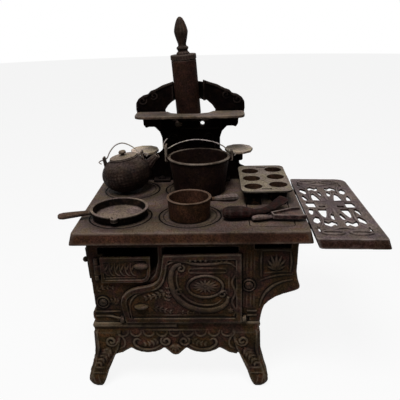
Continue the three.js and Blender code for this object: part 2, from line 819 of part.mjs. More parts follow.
// Front panel with both doorways, hinge lugs and the face of the reservoir casing
function ovenLug(side) {
  const foot = side < 0 ? ovenLeft - trunnionLength - pivotGap : ovenLeft + ovenWidth + pivotGap;
  const x0 = side < 0 ? foot - ovenLugWidth + trunnionLength - cutOver / 2 : foot;
  const eye = rod('x', ovenLugRadius, ovenLugWidth, [x0, ovenHingeY, ovenHingeHeight]);
  const web = box(x0, x0 + ovenLugWidth, ovenHingeY, bodyFront + bodyWall / 2,
    ovenHingeHeight - ovenLugRadius, ovenHingeHeight + ovenLugRadius);
  const bore = rod('x', trunnionRadius + pivotGap, ovenLugWidth + 2 * cutOver,
    [x0 - cutOver, ovenHingeY, ovenHingeHeight]);
  return carved(joined([eye, web]), [bore]);
}

function fireLugHeights() {
  return [fireBottom + hingeInset, fireBottom + fireHeight - hingeInset - lugHeight];
}

function fireLug(zLow) {
  const eye = rod('z', knuckleRadius, lugHeight, [fireHingeX, fireHingeY, zLow]);
  const web = box(fireHingeX - knuckleRadius, fireHingeX + knuckleRadius, fireHingeY,
    bodyFront + bodyWall / 2, zLow, zLow + lugHeight);
  const bore = rod('z', hingePinRadius + pivotGap, lugHeight + 2 * cutOver,
    [fireHingeX, fireHingeY, zLow - cutOver]);
  return carved(joined([eye, web]), [bore]);
}

function screwRing([x, z]) {
  const ring = rod('y', screwRingRadius, screwRingOut + fit, [x, bodyFront - screwRingOut, z], 20);
  const well = rod('y', screwRingRadius - screwRingWidth, screwRingOut + cutOver,
    [x, bodyFront - screwRingOut - cutOver, z], 20);
  return carved(ring, [well]);
}

function frontPanel() {
  const doorway = inset(ovenOutline(), ovenLap);
  const wingSlotTop = bandTop + wingSlotHeight / 2;
  const openings = [
    standing(doorway, bodyFront - cutOver, bodyWall + 2 * cutOver),
    box(ovenBandLeft, doorway.at(-2)[0], bodyFront - cutOver, insideFront + cutOver,
      doorway.at(-2)[1] - cutOver, bandTop),
    standing(placed(fireOpeningShares, fireLeft, fireBottom, fireWidth, bandTop - fireBottom),
      bodyFront - cutOver, bodyWall + 2 * cutOver),
    box(wingSlotLeft, wingSlotLeft + wingSlotWidth, bodyFront - cutOver, insideFront + cutOver,
      wingSlotTop - wingSlotHeight, wingSlotTop),
    box(ovenLeft - trunnionLength - ovenLugWidth, ovenLeft + ovenWidth + trunnionLength + ovenLugWidth,
      bodyFront - cutOver, bodyFront + heelDepth, panelBottom - cutOver, panelBottom + heelHeight)];
  const tieHoles = [tieLeft, tieRight].map(([x, z]) => rod('y', screwRadius + screwHole,
    bodyWall + 2 * cutOver, [x, bodyFront - cutOver, z]));
  const sheet = carved(standing(bodyOutline(), bodyFront, bodyWall), openings);
  const added = [sheet, ...fireLugHeights().map(fireLug), ovenLug(-1), ovenLug(1), screwRing(tieLeft),
    screwRing(tieRight), ...baseLugs(true), ledgeRib(insideFront - fit)];
  return carved(joined(added), [...tieHoles, ...baseLugBores()]);
}

// Back panel: the same outline, plain, with lugs for the screws of the high back
function footScrewPlaces() {
  return [
    { name: 'high_back_screw_left', x: highBackCentre - footScrewSpread },
    { name: 'high_back_screw_right', x: highBackCentre + footScrewSpread }];
}

function footScrewY() {
  return highBackFront - footTabDepth / 2;
}

function backPanel() {
  const sheet = standing(bodyOutline(), insideBack, bodyWall);
  const lugs = footScrewPlaces().map(({ x }) => box(x - backLugWidth / 2, x + backLugWidth / 2,
    footScrewY() - backLugWidth / 2, insideBack + fit, panelTop - backLugHeight, panelTop));
  const tieHoles = [tieLeft, tieRight].map(([x, z]) => rod('y', screwRadius + screwHole,
    bodyWall + 2 * cutOver, [x, insideBack - cutOver, z]));
  const lugBores = footScrewPlaces().map(({ x }) => rod('z', screwRadius + screwHole,
    backLugHeight + cutOver, [x, footScrewY(), panelTop - backLugHeight]));
  const added = [sheet, ...lugs, ...baseLugs(false), ledgeRib(insideBack - ledgeRibDepth + fit)];
  return carved(joined(added), [...tieHoles, ...lugBores, ...baseLugBores()]);
}

// Side walls run between the front and the back panel
const wallLength = bodyDepth - 2 * bodyWall - 2 * fit;
const wallStart = insideFront + fit;

// The left wall leans, so its door and hinge are placed in a frame that leans with it:
// x = 0 is the wall's outer face, z = 0 the top of the plinth
function leaned(geometry) {
  geometry.rotateY(-wallLean);
  return moved(geometry, wallFootX, 0, plinthTop);
}

const sideHingeX = -hingeSet;
const sideHingeY = sideDoorFront + sideDoorWidth + hingeOut;

function sideLugHeights() {
  return [sideDoorUp + hingeInset, sideDoorUp + sideDoorHeight - hingeInset - lugHeight];
}

function sideLug(zLow) {
  const eye = rod('z', knuckleRadius, lugHeight, [sideHingeX, sideHingeY, zLow]);
  const web = box(sideHingeX, bodyWall / 2, sideHingeY - knuckleRadius, sideHingeY + knuckleRadius,
    zLow, zLow + lugHeight);
  const bore = rod('z', hingePinRadius + pivotGap, lugHeight + 2 * cutOver,
    [sideHingeX, sideHingeY, zLow - cutOver]);
  return leaned(carved(joined([eye, web]), [bore]));
}

function leftPanel() {
  const inner = [[wallFootX + bodyWall, panelBottom], [wallFootX + bodyWall, plinthTop],
    [bodyWall - bodyLeft, panelTop]];
  const sheet = standing([...leftEdge(), ...inner], wallStart, wallLength);
  const doorway = leaned(box(-cutOver, bodyWall + cutOver, sideDoorFront + sideDoorLap,
    sideDoorFront + sideDoorWidth - sideDoorLap, sideDoorUp + sideDoorLap,
    sideDoorUp + sideDoorHeight - sideDoorLap));
  return joined([carved(sheet, [doorway]), ...sideLugHeights().map(sideLug)]);
}

function rightPanel() {
  const outer = rightEdge();
  const inner = offsetLine(outer, bodyWall, false);
  return standing([...outer, ...inner.reverse()], wallStart, wallLength);
}

// Firebox partition follows the stepped edge of the oven door; a grate stands on its floor
function firePartition() {
  const left = wallFootX + bodyWall + fit;
  const high = panelTop - fit - partitionFloor;
  const guide = placed(partitionShares, left, partitionFloor, partitionReach, high);
  const upper = offsetLine(guide, partitionThick, false);
  const lastUpper = upper.pop();
  const line = [...guide, [lastUpper[0], guide.at(-1)[1]], ...upper.reverse()];
  return standing(line, wallStart, wallLength);
}

function fireGrate() {
  const left = wallFootX + bodyWall + grateSet;
  const front = insideFront + grateEndGap;
  const grateDepth = insideBack - grateEndGap - front;
  const bottom = partitionFloor + partitionThick + fit + grateFoot;
  const pitch = (grateWidth - grateBarWidth) / (grateBars - 1);
  const bars = Array.from({ length: grateBars }, (unused, index) => box(left + index * pitch,
    left + index * pitch + grateBarWidth, front, front + grateDepth, bottom, bottom + grateThick));
  const rails = [front, front + (grateDepth - grateRail) / 2, front + grateDepth - grateRail].map((y) => box(
    left, left + grateWidth, y, y + grateRail, bottom - fit, bottom + grateThick - fit));
  const footRows = [front, front + grateDepth - grateRail];
  const feet = footRows.flatMap((y) => [left, left + grateWidth - grateRail].map((x) => box(x,
    x + grateRail, y, y + grateRail, bottom - grateFoot, bottom + fit)));
  return joined([...bars, ...rails, ...feet]);
}

// Doors, each with a rounded thumb piece that stands out from its face
function thumbPiece(x, z, width, out, high) {
  const bulb = new THREE.SphereGeometry(1, 18, 12);
  bulb.scale(width / 2, out, high / 2);
  return shared(moved(bulb, x, doorFront, z),
    box(x - width, x + width, doorFront - 2 * out, doorFront + fit, z - high, z + high));
}

function ovenDoor() {
  const rimLine = ovenOutline();
  const plate = standing(rimLine, doorFront, doorThick);
  const rim = carved(standing(rimLine, doorFront - doorRim, doorRim + fit),
    [standing(inset(rimLine, ovenRimWidth), doorFront - doorRim - cutOver, doorRim + fit + 2 * cutOver)]);
  const [centreX, centreZ] = placed([medallionShare], ovenLeft, ovenBottom, ovenWidth, ovenHeight)[0];
  const oval = (grow) => ellipsePoints(centreX, centreZ, medallionAcross / 2 + grow,
    medallionUp / 2 + grow, 24);
  const ring = carved(standing(oval(0), doorFront - doorRim, doorRim + fit),
    [standing(oval(-medallionRing), doorFront - doorRim - cutOver, doorRim + fit + 2 * cutOver)]);
  const [handleX, handleZ] = placed([ledgeHandleShare], ovenLeft, ovenBottom, ovenWidth, ovenHeight)[0];
  const ledge = thumbPiece(handleX, handleZ, ledgeHandleWidth, ledgeHandleOut, ledgeHandleThick);
  const trunnions = [ovenLeft - trunnionLength, ovenLeft + ovenWidth - trunnionRadius].map((x) => rod('x',
    trunnionRadius, trunnionLength + trunnionRadius, [x, ovenHingeY, ovenHingeHeight]));
  return joined([plate, rim, ring, ledge, ...trunnions]);
}

function fireDoor() {
  const line = fireOutline();
  const plate = standing(line, doorFront, doorThick);
  const rim = carved(standing(line, doorFront - fireRim, fireRim + fit),
    [standing(inset(line, fireRimWidth), doorFront - fireRim - cutOver, fireRim + fit + 2 * cutOver)]);
  const [low, high] = fireLugHeights();
  const knuckleLow = low + lugHeight + pivotGap;
  const knuckleLength = high - pivotGap - knuckleLow;
  const knuckle = rod('z', knuckleRadius, knuckleLength, [fireHingeX, fireHingeY, knuckleLow]);
  const web = box(fireHingeX, fireLeft + fireRimWidth, doorFront, fireHingeY + knuckleRadius / 2,
    knuckleLow, knuckleLow + knuckleLength);
  const bore = rod('z', hingePinRadius + pivotGap, knuckleLength + 2 * cutOver,
    [fireHingeX, fireHingeY, knuckleLow - cutOver]);
  const [latchX, latchZ] = placed([fireLatchShare], fireLeft, fireBottom, fireWidth, fireHeight)[0];
  const latch = thumbPiece(latchX, latchZ, fireLatchWidth, fireLatchOut, fireLatchHeight);
  return carved(joined([plate, rim, knuckle, web, latch]), [bore]);
}

function hingePin(x, y, zLow, zHigh) {
  const shank = rod('z', hingePinRadius, zHigh - zLow, [x, y, zLow]);
  const head = rod('z', pinHeadRadius, pinHeadHeight, [x, y, zHigh - pinHeadHeight / 4]);
  return joined([shank, head]);
}

function sideDoor() {
  const back = sideDoorFront + sideDoorWidth;
  const top = sideDoorUp + sideDoorHeight;
  const outer = -doorGap - doorThick;
  const plate = box(outer, -doorGap, sideDoorFront, back, sideDoorUp, top);
  const rimBlock = box(outer - fireRim, outer + fit, sideDoorFront, back, sideDoorUp, top);
  const rimWell = box(outer - cutOver, outer + cutOver / 2, sideDoorFront + sideDoorRimWidth,
    back - sideDoorRimWidth, sideDoorUp + sideDoorRimWidth, top - sideDoorRimWidth);
  const [low, high] = sideLugHeights();
  const knuckleLow = low + lugHeight + pivotGap;
  const knuckleLength = high - pivotGap - knuckleLow;
  const knuckle = rod('z', knuckleRadius, knuckleLength, [sideHingeX, sideHingeY, knuckleLow]);
  const web = box(outer, -doorGap, back - sideDoorLap, sideHingeY, knuckleLow, knuckleLow + knuckleLength);
  const bore = rod('z', hingePinRadius + pivotGap, knuckleLength + 2 * cutOver,
    [sideHingeX, sideHingeY, knuckleLow - cutOver]);
  const knobY = sideDoorFront + knobInset;
  const knobZ = sideDoorUp + knobShare * sideDoorHeight;
  const stem = rod('x', knobStem, knobOut + fit, [outer - knobOut, knobY, knobZ], 10);
  const knob = moved(new THREE.SphereGeometry(knobRadius, 12, 8), outer - knobOut, knobY, knobZ);
  return carved(joined([plate, carved(rimBlock, [rimWell]), knuckle, web, stem, knob]), [bore]);
}

// Top plate and lids
function flaredSlab(x0, x1, y0, y1, corner, height, flare) {
  const geometry = lying(roundedRect(x0, x1, y0, y1, evenCorners(corner)), 0, height);
  const at = geometry.getAttribute('position');
  const midX = (x0 + x1) / 2;
  const midY = (y0 + y1) / 2;
  for (let index = 0; index < at.count; index += 1) {
    const spread = flare * (1 - at.getZ(index) / height);
    at.setX(index, at.getX(index) + Math.sign(at.getX(index) - midX) * spread);
    at.setY(index, at.getY(index) + Math.sign(at.getY(index) - midY) * spread);
  }
  return geometry;
}

function lidPlaces() {
  return [
    { name: 'lid_front_left', x: lidColumnLeft, y: lidRowFront },
    { name: 'lid_back_left', x: lidColumnLeft, y: lidRowBack },
    { name: 'lid_front_middle', x: lidColumnMiddle, y: lidRowFront },
    { name: 'lid_back_middle', x: lidColumnMiddle, y: lidRowBack }];
}

function tankShape(grow) {
  return roundedRect(tankLidLeft - grow, tankLidLeft + tankLidWidth + grow, tankLidFront - grow,
    tankLidFront + tankLidDepth + grow, evenCorners(tankLidCorner));
}

function tonguePlaces() {
  return [tongueFront, tongueBack];
}

function topPlate() {
  const half = plateWidth / 2;
  const slab = moved(flaredSlab(-half, half, 0, plateDepth, plateCorner, skirtHeight, skirtFlare),
    0, 0, plateTop - skirtHeight);
  const pocketHeight = skirtHeight - plateThick + cutOver;
  const pocket = moved(flaredSlab(skirtWall - half, half - skirtWall, skirtWall, plateDepth - skirtWall,
    plateCorner, pocketHeight, skirtFlare), 0, 0, plateTop - plateThick - pocketHeight);
  const seat = plateTop - lidThick - fit;
  const lidWells = lidPlaces().flatMap(({ x, y }) => [
    rod('z', lidRadius + fit, lidThick + fit + cutOver, [x, y, seat], roundSides),
    rod('z', lidRadius - lidLedge, plateThick + 2 * cutOver, [x, y, plateTop - plateThick - cutOver],
      roundSides)]);
  const tankWells = [lying(tankShape(fit), seat, lidThick + fit + cutOver),
    lying(tankShape(-lidLedge), plateTop - plateThick - cutOver, plateThick + 2 * cutOver)];
  const tongueMiddle = shelfTop - tongueDrop - tongueThick / 2;
  const slots = tonguePlaces().map((y) => box(half - skirtWall - cutOver, half + skirtFlare + cutOver,
    y - tongueWidth / 2 - tongueSlack, y + tongueWidth / 2 + tongueSlack,
    tongueMiddle - tongueThick / 2 - tongueSlack, tongueMiddle + tongueThick / 2 + tongueSlack));
  const screwHoles = footScrewPlaces().map(({ x }) => rod('z', screwRadius + screwHole,
    plateThick + 2 * cutOver, [x, footScrewY(), plateTop - plateThick - cutOver]));
  return carved(slab, [pocket, ...lidWells, ...tankWells, ...slots, ...screwHoles]);
}

function roundLid() {
  const disc = turned([[0, 0], [lidRadius, 0], [lidRadius, lidThick - lidBevel],
    [lidRadius - lidBevel, lidThick], [0, lidThick]]);
  const slot = box(-lifterSlotWidth / 2, lifterSlotWidth / 2, lifterSlotPlace,
    lifterSlotPlace + lifterSlotDepth, -cutOver, lidThick + cutOver);
  return carved(disc, [slot]);
}

function tankLid() {
  const sheet = lying(tankShape(0), plateTop - lidThick, lidThick);
  const middle = tankLidLeft + tankLidWidth / 2;
  const back = tankLidFront + tankLidDepth - lifterSlotPlace;
  const slot = box(middle - lifterSlotWidth / 2, middle + lifterSlotWidth / 2, back,
    back + lifterSlotDepth, plateTop - lidThick - cutOver, plateTop + cutOver);
  return carved(sheet, [slot]);
}

// High back with its arch, the pipe's seat and spigot, and the half-round collar behind the pipe
function collarRadius() {
  return pipeRadius + (collarTop - seatTop) * Math.tan(pipeLean) + fit;
}

function halfRing(inner, outer, zLow, height) {
  const ring = carved(rod('z', outer, height, [pipeX, pipeY, zLow], roundSides),
    [rod('z', inner, height + 2 * cutOver, [pipeX, pipeY, zLow - cutOver], roundSides)]);
  const front = box(pipeX - 2 * outer, pipeX + 2 * outer, pipeY - 2 * outer, highBackFront,
    zLow - cutOver, zLow + height + cutOver);
  return carved(ring, [front]);
}

function highBack() {
  const footBottom = cookingTop;
  const rise = highBackTop - footBottom;
  const half = placed(highBackShares, 0, footBottom, highBackHalf, rise);
  const line = mirrored(half).map(([across, up]) => [highBackCentre + across, up]);
  const arch = mirrored(placed(archShares, 0, footBottom, highBackHalf, rise))
    .map(([across, up]) => [highBackCentre + across, up]);
  const inner = collarRadius();
  const pipeGap = rod('z', inner, rise, [pipeX, pipeY, seatTop], roundSides);
  const shelfHoles = [-1, 1].map((side) => rod('y', shelfHoleRadius, highBackThick + 2 * cutOver,
    [highBackCentre + side * shelfHoleSpread, highBackFront - cutOver, shelfHoleHeight]));
  const sheet = carved(standing(line, highBackFront, highBackThick),
    [standing(arch, highBackFront - cutOver, highBackThick + 2 * cutOver), pipeGap, ...shelfHoles]);
  const collar = halfRing(inner, inner + collarWall, collarTop - collarHeight, collarHeight);
  const seat = rod('z', seatRadius, seatThick, [pipeX, pipeY, seatTop - seatThick], 24);
  const spigot = rod('z', spigotRadius, spigotHeight + fit, [pipeX, pipeY, seatTop - fit], 16);
  const footTabs = footScrewPlaces().map(({ x }) => box(x - footTabWidth / 2, x + footTabWidth / 2,
    highBackFront - footTabDepth, highBackFront + fit, footBottom, footBottom + footTabThick));
  const screwHoles = footScrewPlaces().map(({ x }) => rod('z', screwRadius + screwHole,
    footTabThick + 2 * cutOver, [x, footScrewY(), footBottom - cutOver]));
  const bossTop = teapotTop - teapotThick - fit;
  const bosses = [-1, 1].map((side) => rod('z', teapotBossRadius, teapotStemLength + bodyWall,
    [highBackCentre + side * teapotSpread, teapotBossY(), bossTop - teapotStemLength - bodyWall]));
  const bossBores = [-1, 1].map((side) => rod('z', teapotStemRadius + pivotGap, teapotStemLength + cutOver,
    [highBackCentre + side * teapotSpread, teapotBossY(), bossTop - teapotStemLength - fit]));
  return carved(joined([sheet, collar, seat, spigot, ...footTabs, ...bosses]), [...screwHoles, ...bossBores]);
}

function teapotBossY() {
  return highBackFront + highBackThick / 2;
}

function warmingShelf() {
  const left = highBackCentre - warmHalf;
  const right = highBackCentre + warmHalf;
  const back = highBackFront - fit;
  const board = lying(roundedRect(left, right, warmFront, back, [warmCorner, warmCorner, warmCorner / 2,
    warmCorner / 2]), warmTop - warmThick, warmThick);
  const notch = lying(ellipseShape(highBackCentre, back, notchHalf, notchDepth),
    warmTop - warmThick - flangeDrop - cutOver, warmThick + flangeDrop + 2 * cutOver);
  const flange = box(highBackCentre - flangeHalf, highBackCentre + flangeHalf, back - flangeThick, back,
    warmTop - warmThick - flangeDrop, seatTop - seatThick - fit);
  const arms = [-1, 1].map((side) => {
    const outer = highBackCentre + side * (notchHalf + 3 * warmThick);
    const inner = highBackCentre + side * (flangeHalf - warmThick);
    return box(Math.min(outer, inner), Math.max(outer, inner), back - flangeThick, back,
      warmTop - warmThick - flangeDrop, warmTop - warmThick / 2);
  });
  const holes = [-1, 1].map((side) => rod('y', shelfHoleRadius, flangeThick + 2 * cutOver,
    [highBackCentre + side * shelfHoleSpread, back - flangeThick - cutOver, shelfHoleHeight]));
  return carved(joined([carved(board, [notch]), flange, ...arms]), holes);
}

function teapotShelf() {
  const plate = lying(ellipseShape(0, teapotY - teapotBossY(), teapotHalfWidth, teapotHalfDepth),
    -teapotThick, teapotThick);
  const stem = rod('z', teapotStemRadius, teapotStemLength, [0, 0, -teapotThick - teapotStemLength + fit]);
  return joined([plate, stem]);
}

// Stovepipe and cap stand in a group that leans with them
function stovepipe() {
  const inner = pipeRadius - pipeWall;
  return carved(rod('z', pipeRadius, pipeLength, [0, 0, 0], 28),
    [rod('z', inner, pipeLength + 2 * cutOver, [0, 0, -cutOver], 28)]);
}

function pipeCap() {
  const plugRadius = pipeRadius - pipeWall - pivotGap;
  const plate = turned([[0, -capPlug], [plugRadius, -capPlug], [plugRadius, fit], [capRadius, fit],
    [capRadius, capThick - lidBevel], [capRadius - lidBevel, capThick], [0, capThick]], 28);
  const bud = turned([[0, capThick - fit], ...placed(finialShares, 0, capThick - fit, finialRadius,
    finialHeight)], finialSides);
  return joined([plate, bud]);
}

// Side shelf: x = 0 at its left top edge, y = 0 at its front edge, z = 0 at its top
function shelfBlock(grow, height) {
  const corners = [shelfCorner, shelfCorner, shelfBackCorner, shelfCorner];
  const shape = roundedRect(grow, shelfWidth - grow, grow, shelfDepth - grow, corners);
  const geometry = lying(shape, -height, height);
  const at = geometry.getAttribute('position');
  for (let index = 0; index < at.count; index += 1) {
    const slant = shelfFlare * -at.getZ(index) / shelfSkirt;
    const ahead = at.getY(index) < shelfDepth / 2 ? slant : 0;
    at.setX(index, at.getX(index) + slant);
    at.setY(index, at.getY(index) - ahead);
  }
  return geometry;
}

function latticeHole(shares, mirrorX, mirrorY) {
  const points = shares.map(([u, v]) => [shelfWidth / 2 + latticeShift + mirrorX * u * latticeHalfWidth,
    shelfDepth / 2 + mirrorY * v * latticeHalfDepth]);
  return lying(outline(points), -shelfPlate - cutOver, shelfPlate + 2 * cutOver);
}

function sideShelf() {
  const block = shelfBlock(0, shelfSkirt);
  const pocket = shared(shelfBlock(shelfWall, shelfSkirt + cutOver),
    box(-shelfWidth, 2 * shelfWidth, -shelfDepth, 2 * shelfDepth, -2 * shelfSkirt, -shelfPlate));
  const holes = [1, -1].flatMap((mirrorX) => [
    latticeHole(sideHoleShares, mirrorX, 1), latticeHole(middleSlotShares, mirrorX, 1),
    ...[1, -1].flatMap((mirrorY) => quarterHoleShares.map((shares) => latticeHole(shares, mirrorX,
      mirrorY)))]);
  const tongueRoot = shelfWall / 2 + tongueDrop * shelfFlare / shelfSkirt;
  const tongues = tonguePlaces().map((y) => box(-tongueReach, tongueRoot, y - shelfFront - tongueWidth / 2,
    y - shelfFront + tongueWidth / 2, -tongueDrop - tongueThick, -tongueDrop));
  return joined([carved(block, [pocket, ...holes]), ...tongues]);
}

// Pots and pans, each with z = 0 under its base
function vessel(base, rim, height, wall, lip) {
  const floor = wall;
  return turned([[0, 0], [base, 0], [rim, height - lip], [rim + lip / 2, height - lip],
    [rim + lip / 2, height], [rim - wall, height], [base - wall, floor], [0, floor]]);
}

function vesselInside(base, rim, height, wall) {
  return turned([[0, wall], [base - wall, wall], [rim - wall, height], [rim - wall, height + cutOver],
    [0, height + cutOver]]);
}

function skillet() {
  const bowl = vessel(skilletBase, skilletRim - skilletLip / 2, skilletHeight, skilletWall, skilletLip);
  const grip = handle(skilletHandle, skilletHandleShares);
  grip.translate(skilletRim - skilletWall, 0, skilletHeight - skilletHandle.thickness / 2);
  grip.rotateZ(skilletHeading);
  const spoutOuter = rod('z', skilletSpoutWidth / 2, skilletHeight / 2, [0, -skilletRim, skilletHeight / 2]);
  const spoutCut = rod('z', skilletSpoutWidth / 2 - skilletWall / 2, skilletHeight,
    [0, -skilletRim + skilletWall / 2, skilletHeight / 2 + skilletWall / 2]);
  const inside = vesselInside(skilletBase, skilletRim - skilletLip / 2, skilletHeight, skilletWall);
  return carved(joined([bowl, grip, spoutOuter]), [inside, spoutCut]);
}

function saucepan() {
  const bowl = vessel(saucepanBase, saucepanRim - saucepanLip / 2, saucepanHeight, saucepanWall, saucepanLip);
  const grip = handle(saucepanHandle, saucepanHandleShares);
  grip.translate(saucepanRim - saucepanWall, 0, saucepanHeight - saucepanHandleDrop);
  grip.rotateZ(saucepanHeading);
  const inside = vesselInside(saucepanBase, saucepanRim - saucepanLip / 2, saucepanHeight, saucepanWall);
  return carved(joined([bowl, grip]), [inside]);
}

// Kettle: z = 0 at its widest ring; body, lid and bail stand in one leaning group
function kettleProfile(radius, halfHeight, low, mouth) {
  const lowAngle = Math.acos(Math.min(low / radius, 1));
  const mouthAngle = Math.acos(mouth / radius);
  return Array.from({ length: kettleSteps + 1 }, (unused, index) => {
    const angle = -lowAngle + (mouthAngle + lowAngle) * index / kettleSteps;
    return [radius * Math.cos(angle), halfHeight * Math.sin(angle)];
  });
}

function kettleNeckTop() {
  return kettleHalfHeight * Math.sin(Math.acos(kettleNeckRadius() / kettleRadius)) + kettleNeck;
}

function kettleNeckRadius() {
  return kettleMouth + kettleWall;
}

function kettleBody() {
  const outer = kettleProfile(kettleRadius, kettleHalfHeight, kettleFoot, kettleNeckRadius());
  const inner = kettleProfile(kettleRadius - kettleWall, kettleHalfHeight - kettleWall,
    kettleFoot - kettleWall, kettleMouth);
  const neckTop = kettleNeckTop();
  const bowl = turned([[0, outer[0][1]], ...outer, [kettleNeckRadius(), neckTop], [0, neckTop]], kettleSides);
  const hollow = turned([[0, inner[0][1]], ...inner, [kettleMouth, neckTop + cutOver],
    [0, neckTop + cutOver]], kettleSides);
  const ears = [-1, 1].map((side) => carved(
    box(side * kettleEarSpread - kettleEarThick / 2, side * kettleEarSpread + kettleEarThick / 2,
      -kettleEarWidth / 2, kettleEarWidth / 2, kettleEarFoot, kettleEarTop),
    [rod('x', wireRadius + wireHole, kettleEarThick + 2 * cutOver,
      [side * kettleEarSpread - kettleEarThick / 2 - cutOver, 0, kettlePivotHeight], 10)]));
  const size = { length: spoutReach - spoutRoot, sway: 1, rise: spoutRise - spoutStart, width: spoutWidth,
    thickness: spoutWidth };
  const spout = moved(handle(size, spoutShares), spoutRoot, 0, spoutStart);
  const boreSize = { ...size, width: spoutWidth - 2 * kettleWall, thickness: spoutWidth - 2 * kettleWall };
  const boreShares = [[-0.4, 0, -0.2, 0.9, 0.9], ...spoutShares.slice(1, -1), [1.2, 0, 1.2, 0.72, 0.5]];
  const bore = moved(handle(boreSize, boreShares), spoutRoot, 0, spoutStart);
  return carved(joined([bowl, spout, ...ears]), [hollow, bore]);
}

function kettleLid() {
  const plugRadius = kettleMouth - pivotGap;
  const plate = [[0, -kettleLidPlug], [plugRadius, -kettleLidPlug], [plugRadius, 0], [kettleLidRadius, 0],
    [kettleLidRadius, kettleLidThick / 2], [kettleKnobRadius, kettleLidThick]];
  return turned([...plate, ...placed(kettleKnobShares, 0, kettleLidThick, kettleKnobRadius,
    kettleKnobHeight)], 24);
}

// A wire bail: x runs between its pivots, z = 0 on their line, hooks hang outside the ears
function kettleBail() {
  const reach = kettleEarSpread + kettleEarThick / 2;
  const hookX = reach + kettleHookOut;
  const shoulder = kettleEarSpread - kettleEarThick;
  const arch = placed(kettleBailShares, 0, 0, shoulder, kettleBailHeight).map(([x, z]) => [x, 0, z]);
  const points = [[-reach - kettleHookOut / 2, 0, -kettleHookDrop], [-hookX, 0, -kettleHookDrop / 2],
    [-reach - kettleHookOut / 2, 0, 0], [-kettleEarSpread, 0, 0], ...arch,
    [kettleEarSpread, 0, 0], [reach + kettleHookOut / 2, 0, 0], [hookX, 0, -kettleHookDrop / 2],
    [reach + kettleHookOut / 2, 0, -kettleHookDrop]];
  return toGeometry(toSolid(wire(points, wireRadius, 44)));
}

function potEar(side, rise, pivot) {
  const inner = potRim + potBead / 2;
  const x0 = side < 0 ? -inner - potEarThick : inner;
  const foot = potHeight - potEarFoot;
  const tab = box(x0, x0 + potEarThick, -potEarWidth / 2, potEarWidth / 2, foot, potHeight + rise);
  const bridge = box(side < 0 ? x0 : inner - potWall, side < 0 ? -inner + potWall : x0 + potEarThick,
    -potEarWidth / 2, potEarWidth / 2, foot, foot + potEarThick);
  const hole = rod('x', wireRadius + wireHole, potEarThick + 2 * cutOver,
    [x0 - cutOver, 0, potHeight + pivot], 10);
  return carved(joined([tab, bridge]), [hole]);
}

function stewPot() {
  const profile = [[0, 0], [potBase, 0], [potRim - potBead / 2, potHeight - 2 * potBead],
    [potRim + potBead / 2, potHeight - potBead], [potRim + potBead / 2, potHeight - potBead / 3],
    [potRim, potHeight], [potRim - potWall, potHeight], [potBase - potWall, potWall], [0, potWall]];
  return joined([turned(profile), potEar(-1, potLeftEarRise, potLeftPivot), potEar(1, potRightEarRise,
    potRightPivot)]);
}

function potPivots() {
  const span = potRim + potBead / 2 + potEarThick / 2;
  return { left: [-span, 0, potHeight + potLeftPivot], right: [span, 0, potHeight + potRightPivot], span };
}

function potBail() {
  const { span } = potPivots();
  const outside = span + potEarThick / 2 + potHookOut / 2;
  const shoulder = span - potEarThick;
  const arch = placed(potBailShares, 0, 0, shoulder, potBailHeight).map(([x, z]) => [x, 0, z]);
  const points = [[-outside + potHookIn, 0, potHookRise], [-outside, 0, potHookRise / 2],
    [-outside, 0, potHookOut / 2], [-outside + potHookOut / 2, 0, 0], [-span, 0, 0], ...arch, [span, 0, 0],
    [outside - potHookOut / 3, 0, 0], [outside + potHookOut / 2, 0, -potHookOut / 2],
    [outside, 0, -potHookOut]];
  return toGeometry(toSolid(wire(points, wireRadius, 48)));
}

// Muffin pan: x = y = 0 at its middle, z = 0 under its skirt
function cupPlaces() {
  return [-1, 1].flatMap((side) => [-1, 0, 1].map((row) => [side * cupColumn,
    row * cupPitch + side * cupShift]));
}

function muffinPan() {
  const rimShape = roundedRect(-muffinWidth / 2, muffinWidth / 2, -muffinDepth / 2, muffinDepth / 2,
    evenCorners(muffinCorner));
  const rim = lying(rimShape, muffinHeight - muffinRimThick, muffinRimThick);
  const skirtShape = (grow) => roundedRect(-muffinSkirtWidth / 2 + grow, muffinSkirtWidth / 2 - grow,
    -muffinSkirtDepth / 2 + grow, muffinSkirtDepth / 2 - grow, evenCorners(muffinSkirtCorner));
  const skirt = carved(lying(skirtShape(0), 0, muffinHeight - muffinRimThick / 2),
    [lying(skirtShape(muffinWall), -cutOver, muffinHeight + cutOver - muffinRimThick)]);
  const cupWall = (x, y, grow, over) => moved(turned([[0, 0], [cupBase + grow, 0],
    [cupRadius + grow, cupDepth + grow], [cupRadius + grow, cupDepth + grow + over],
    [0, cupDepth + grow + over]], cupSides), x, y, muffinHeight - cupDepth - grow);
  const cups = cupPlaces().map(([x, y]) => cupWall(x, y, muffinWall, 0));
  const bores = cupPlaces().map(([x, y]) => cupWall(x, y, 0, cutOver));
  const slots = [-1, 1].map((side) => box(-gripSlotLength / 2, gripSlotLength / 2,
    side * (muffinDepth / 2 - gripSlotInset) - gripSlotWidth / 2,
    side * (muffinDepth / 2 - gripSlotInset) + gripSlotWidth / 2, -cutOver, muffinHeight + cutOver));
  return carved(joined([rim, skirt, ...cups]), [...bores, ...slots]);
}

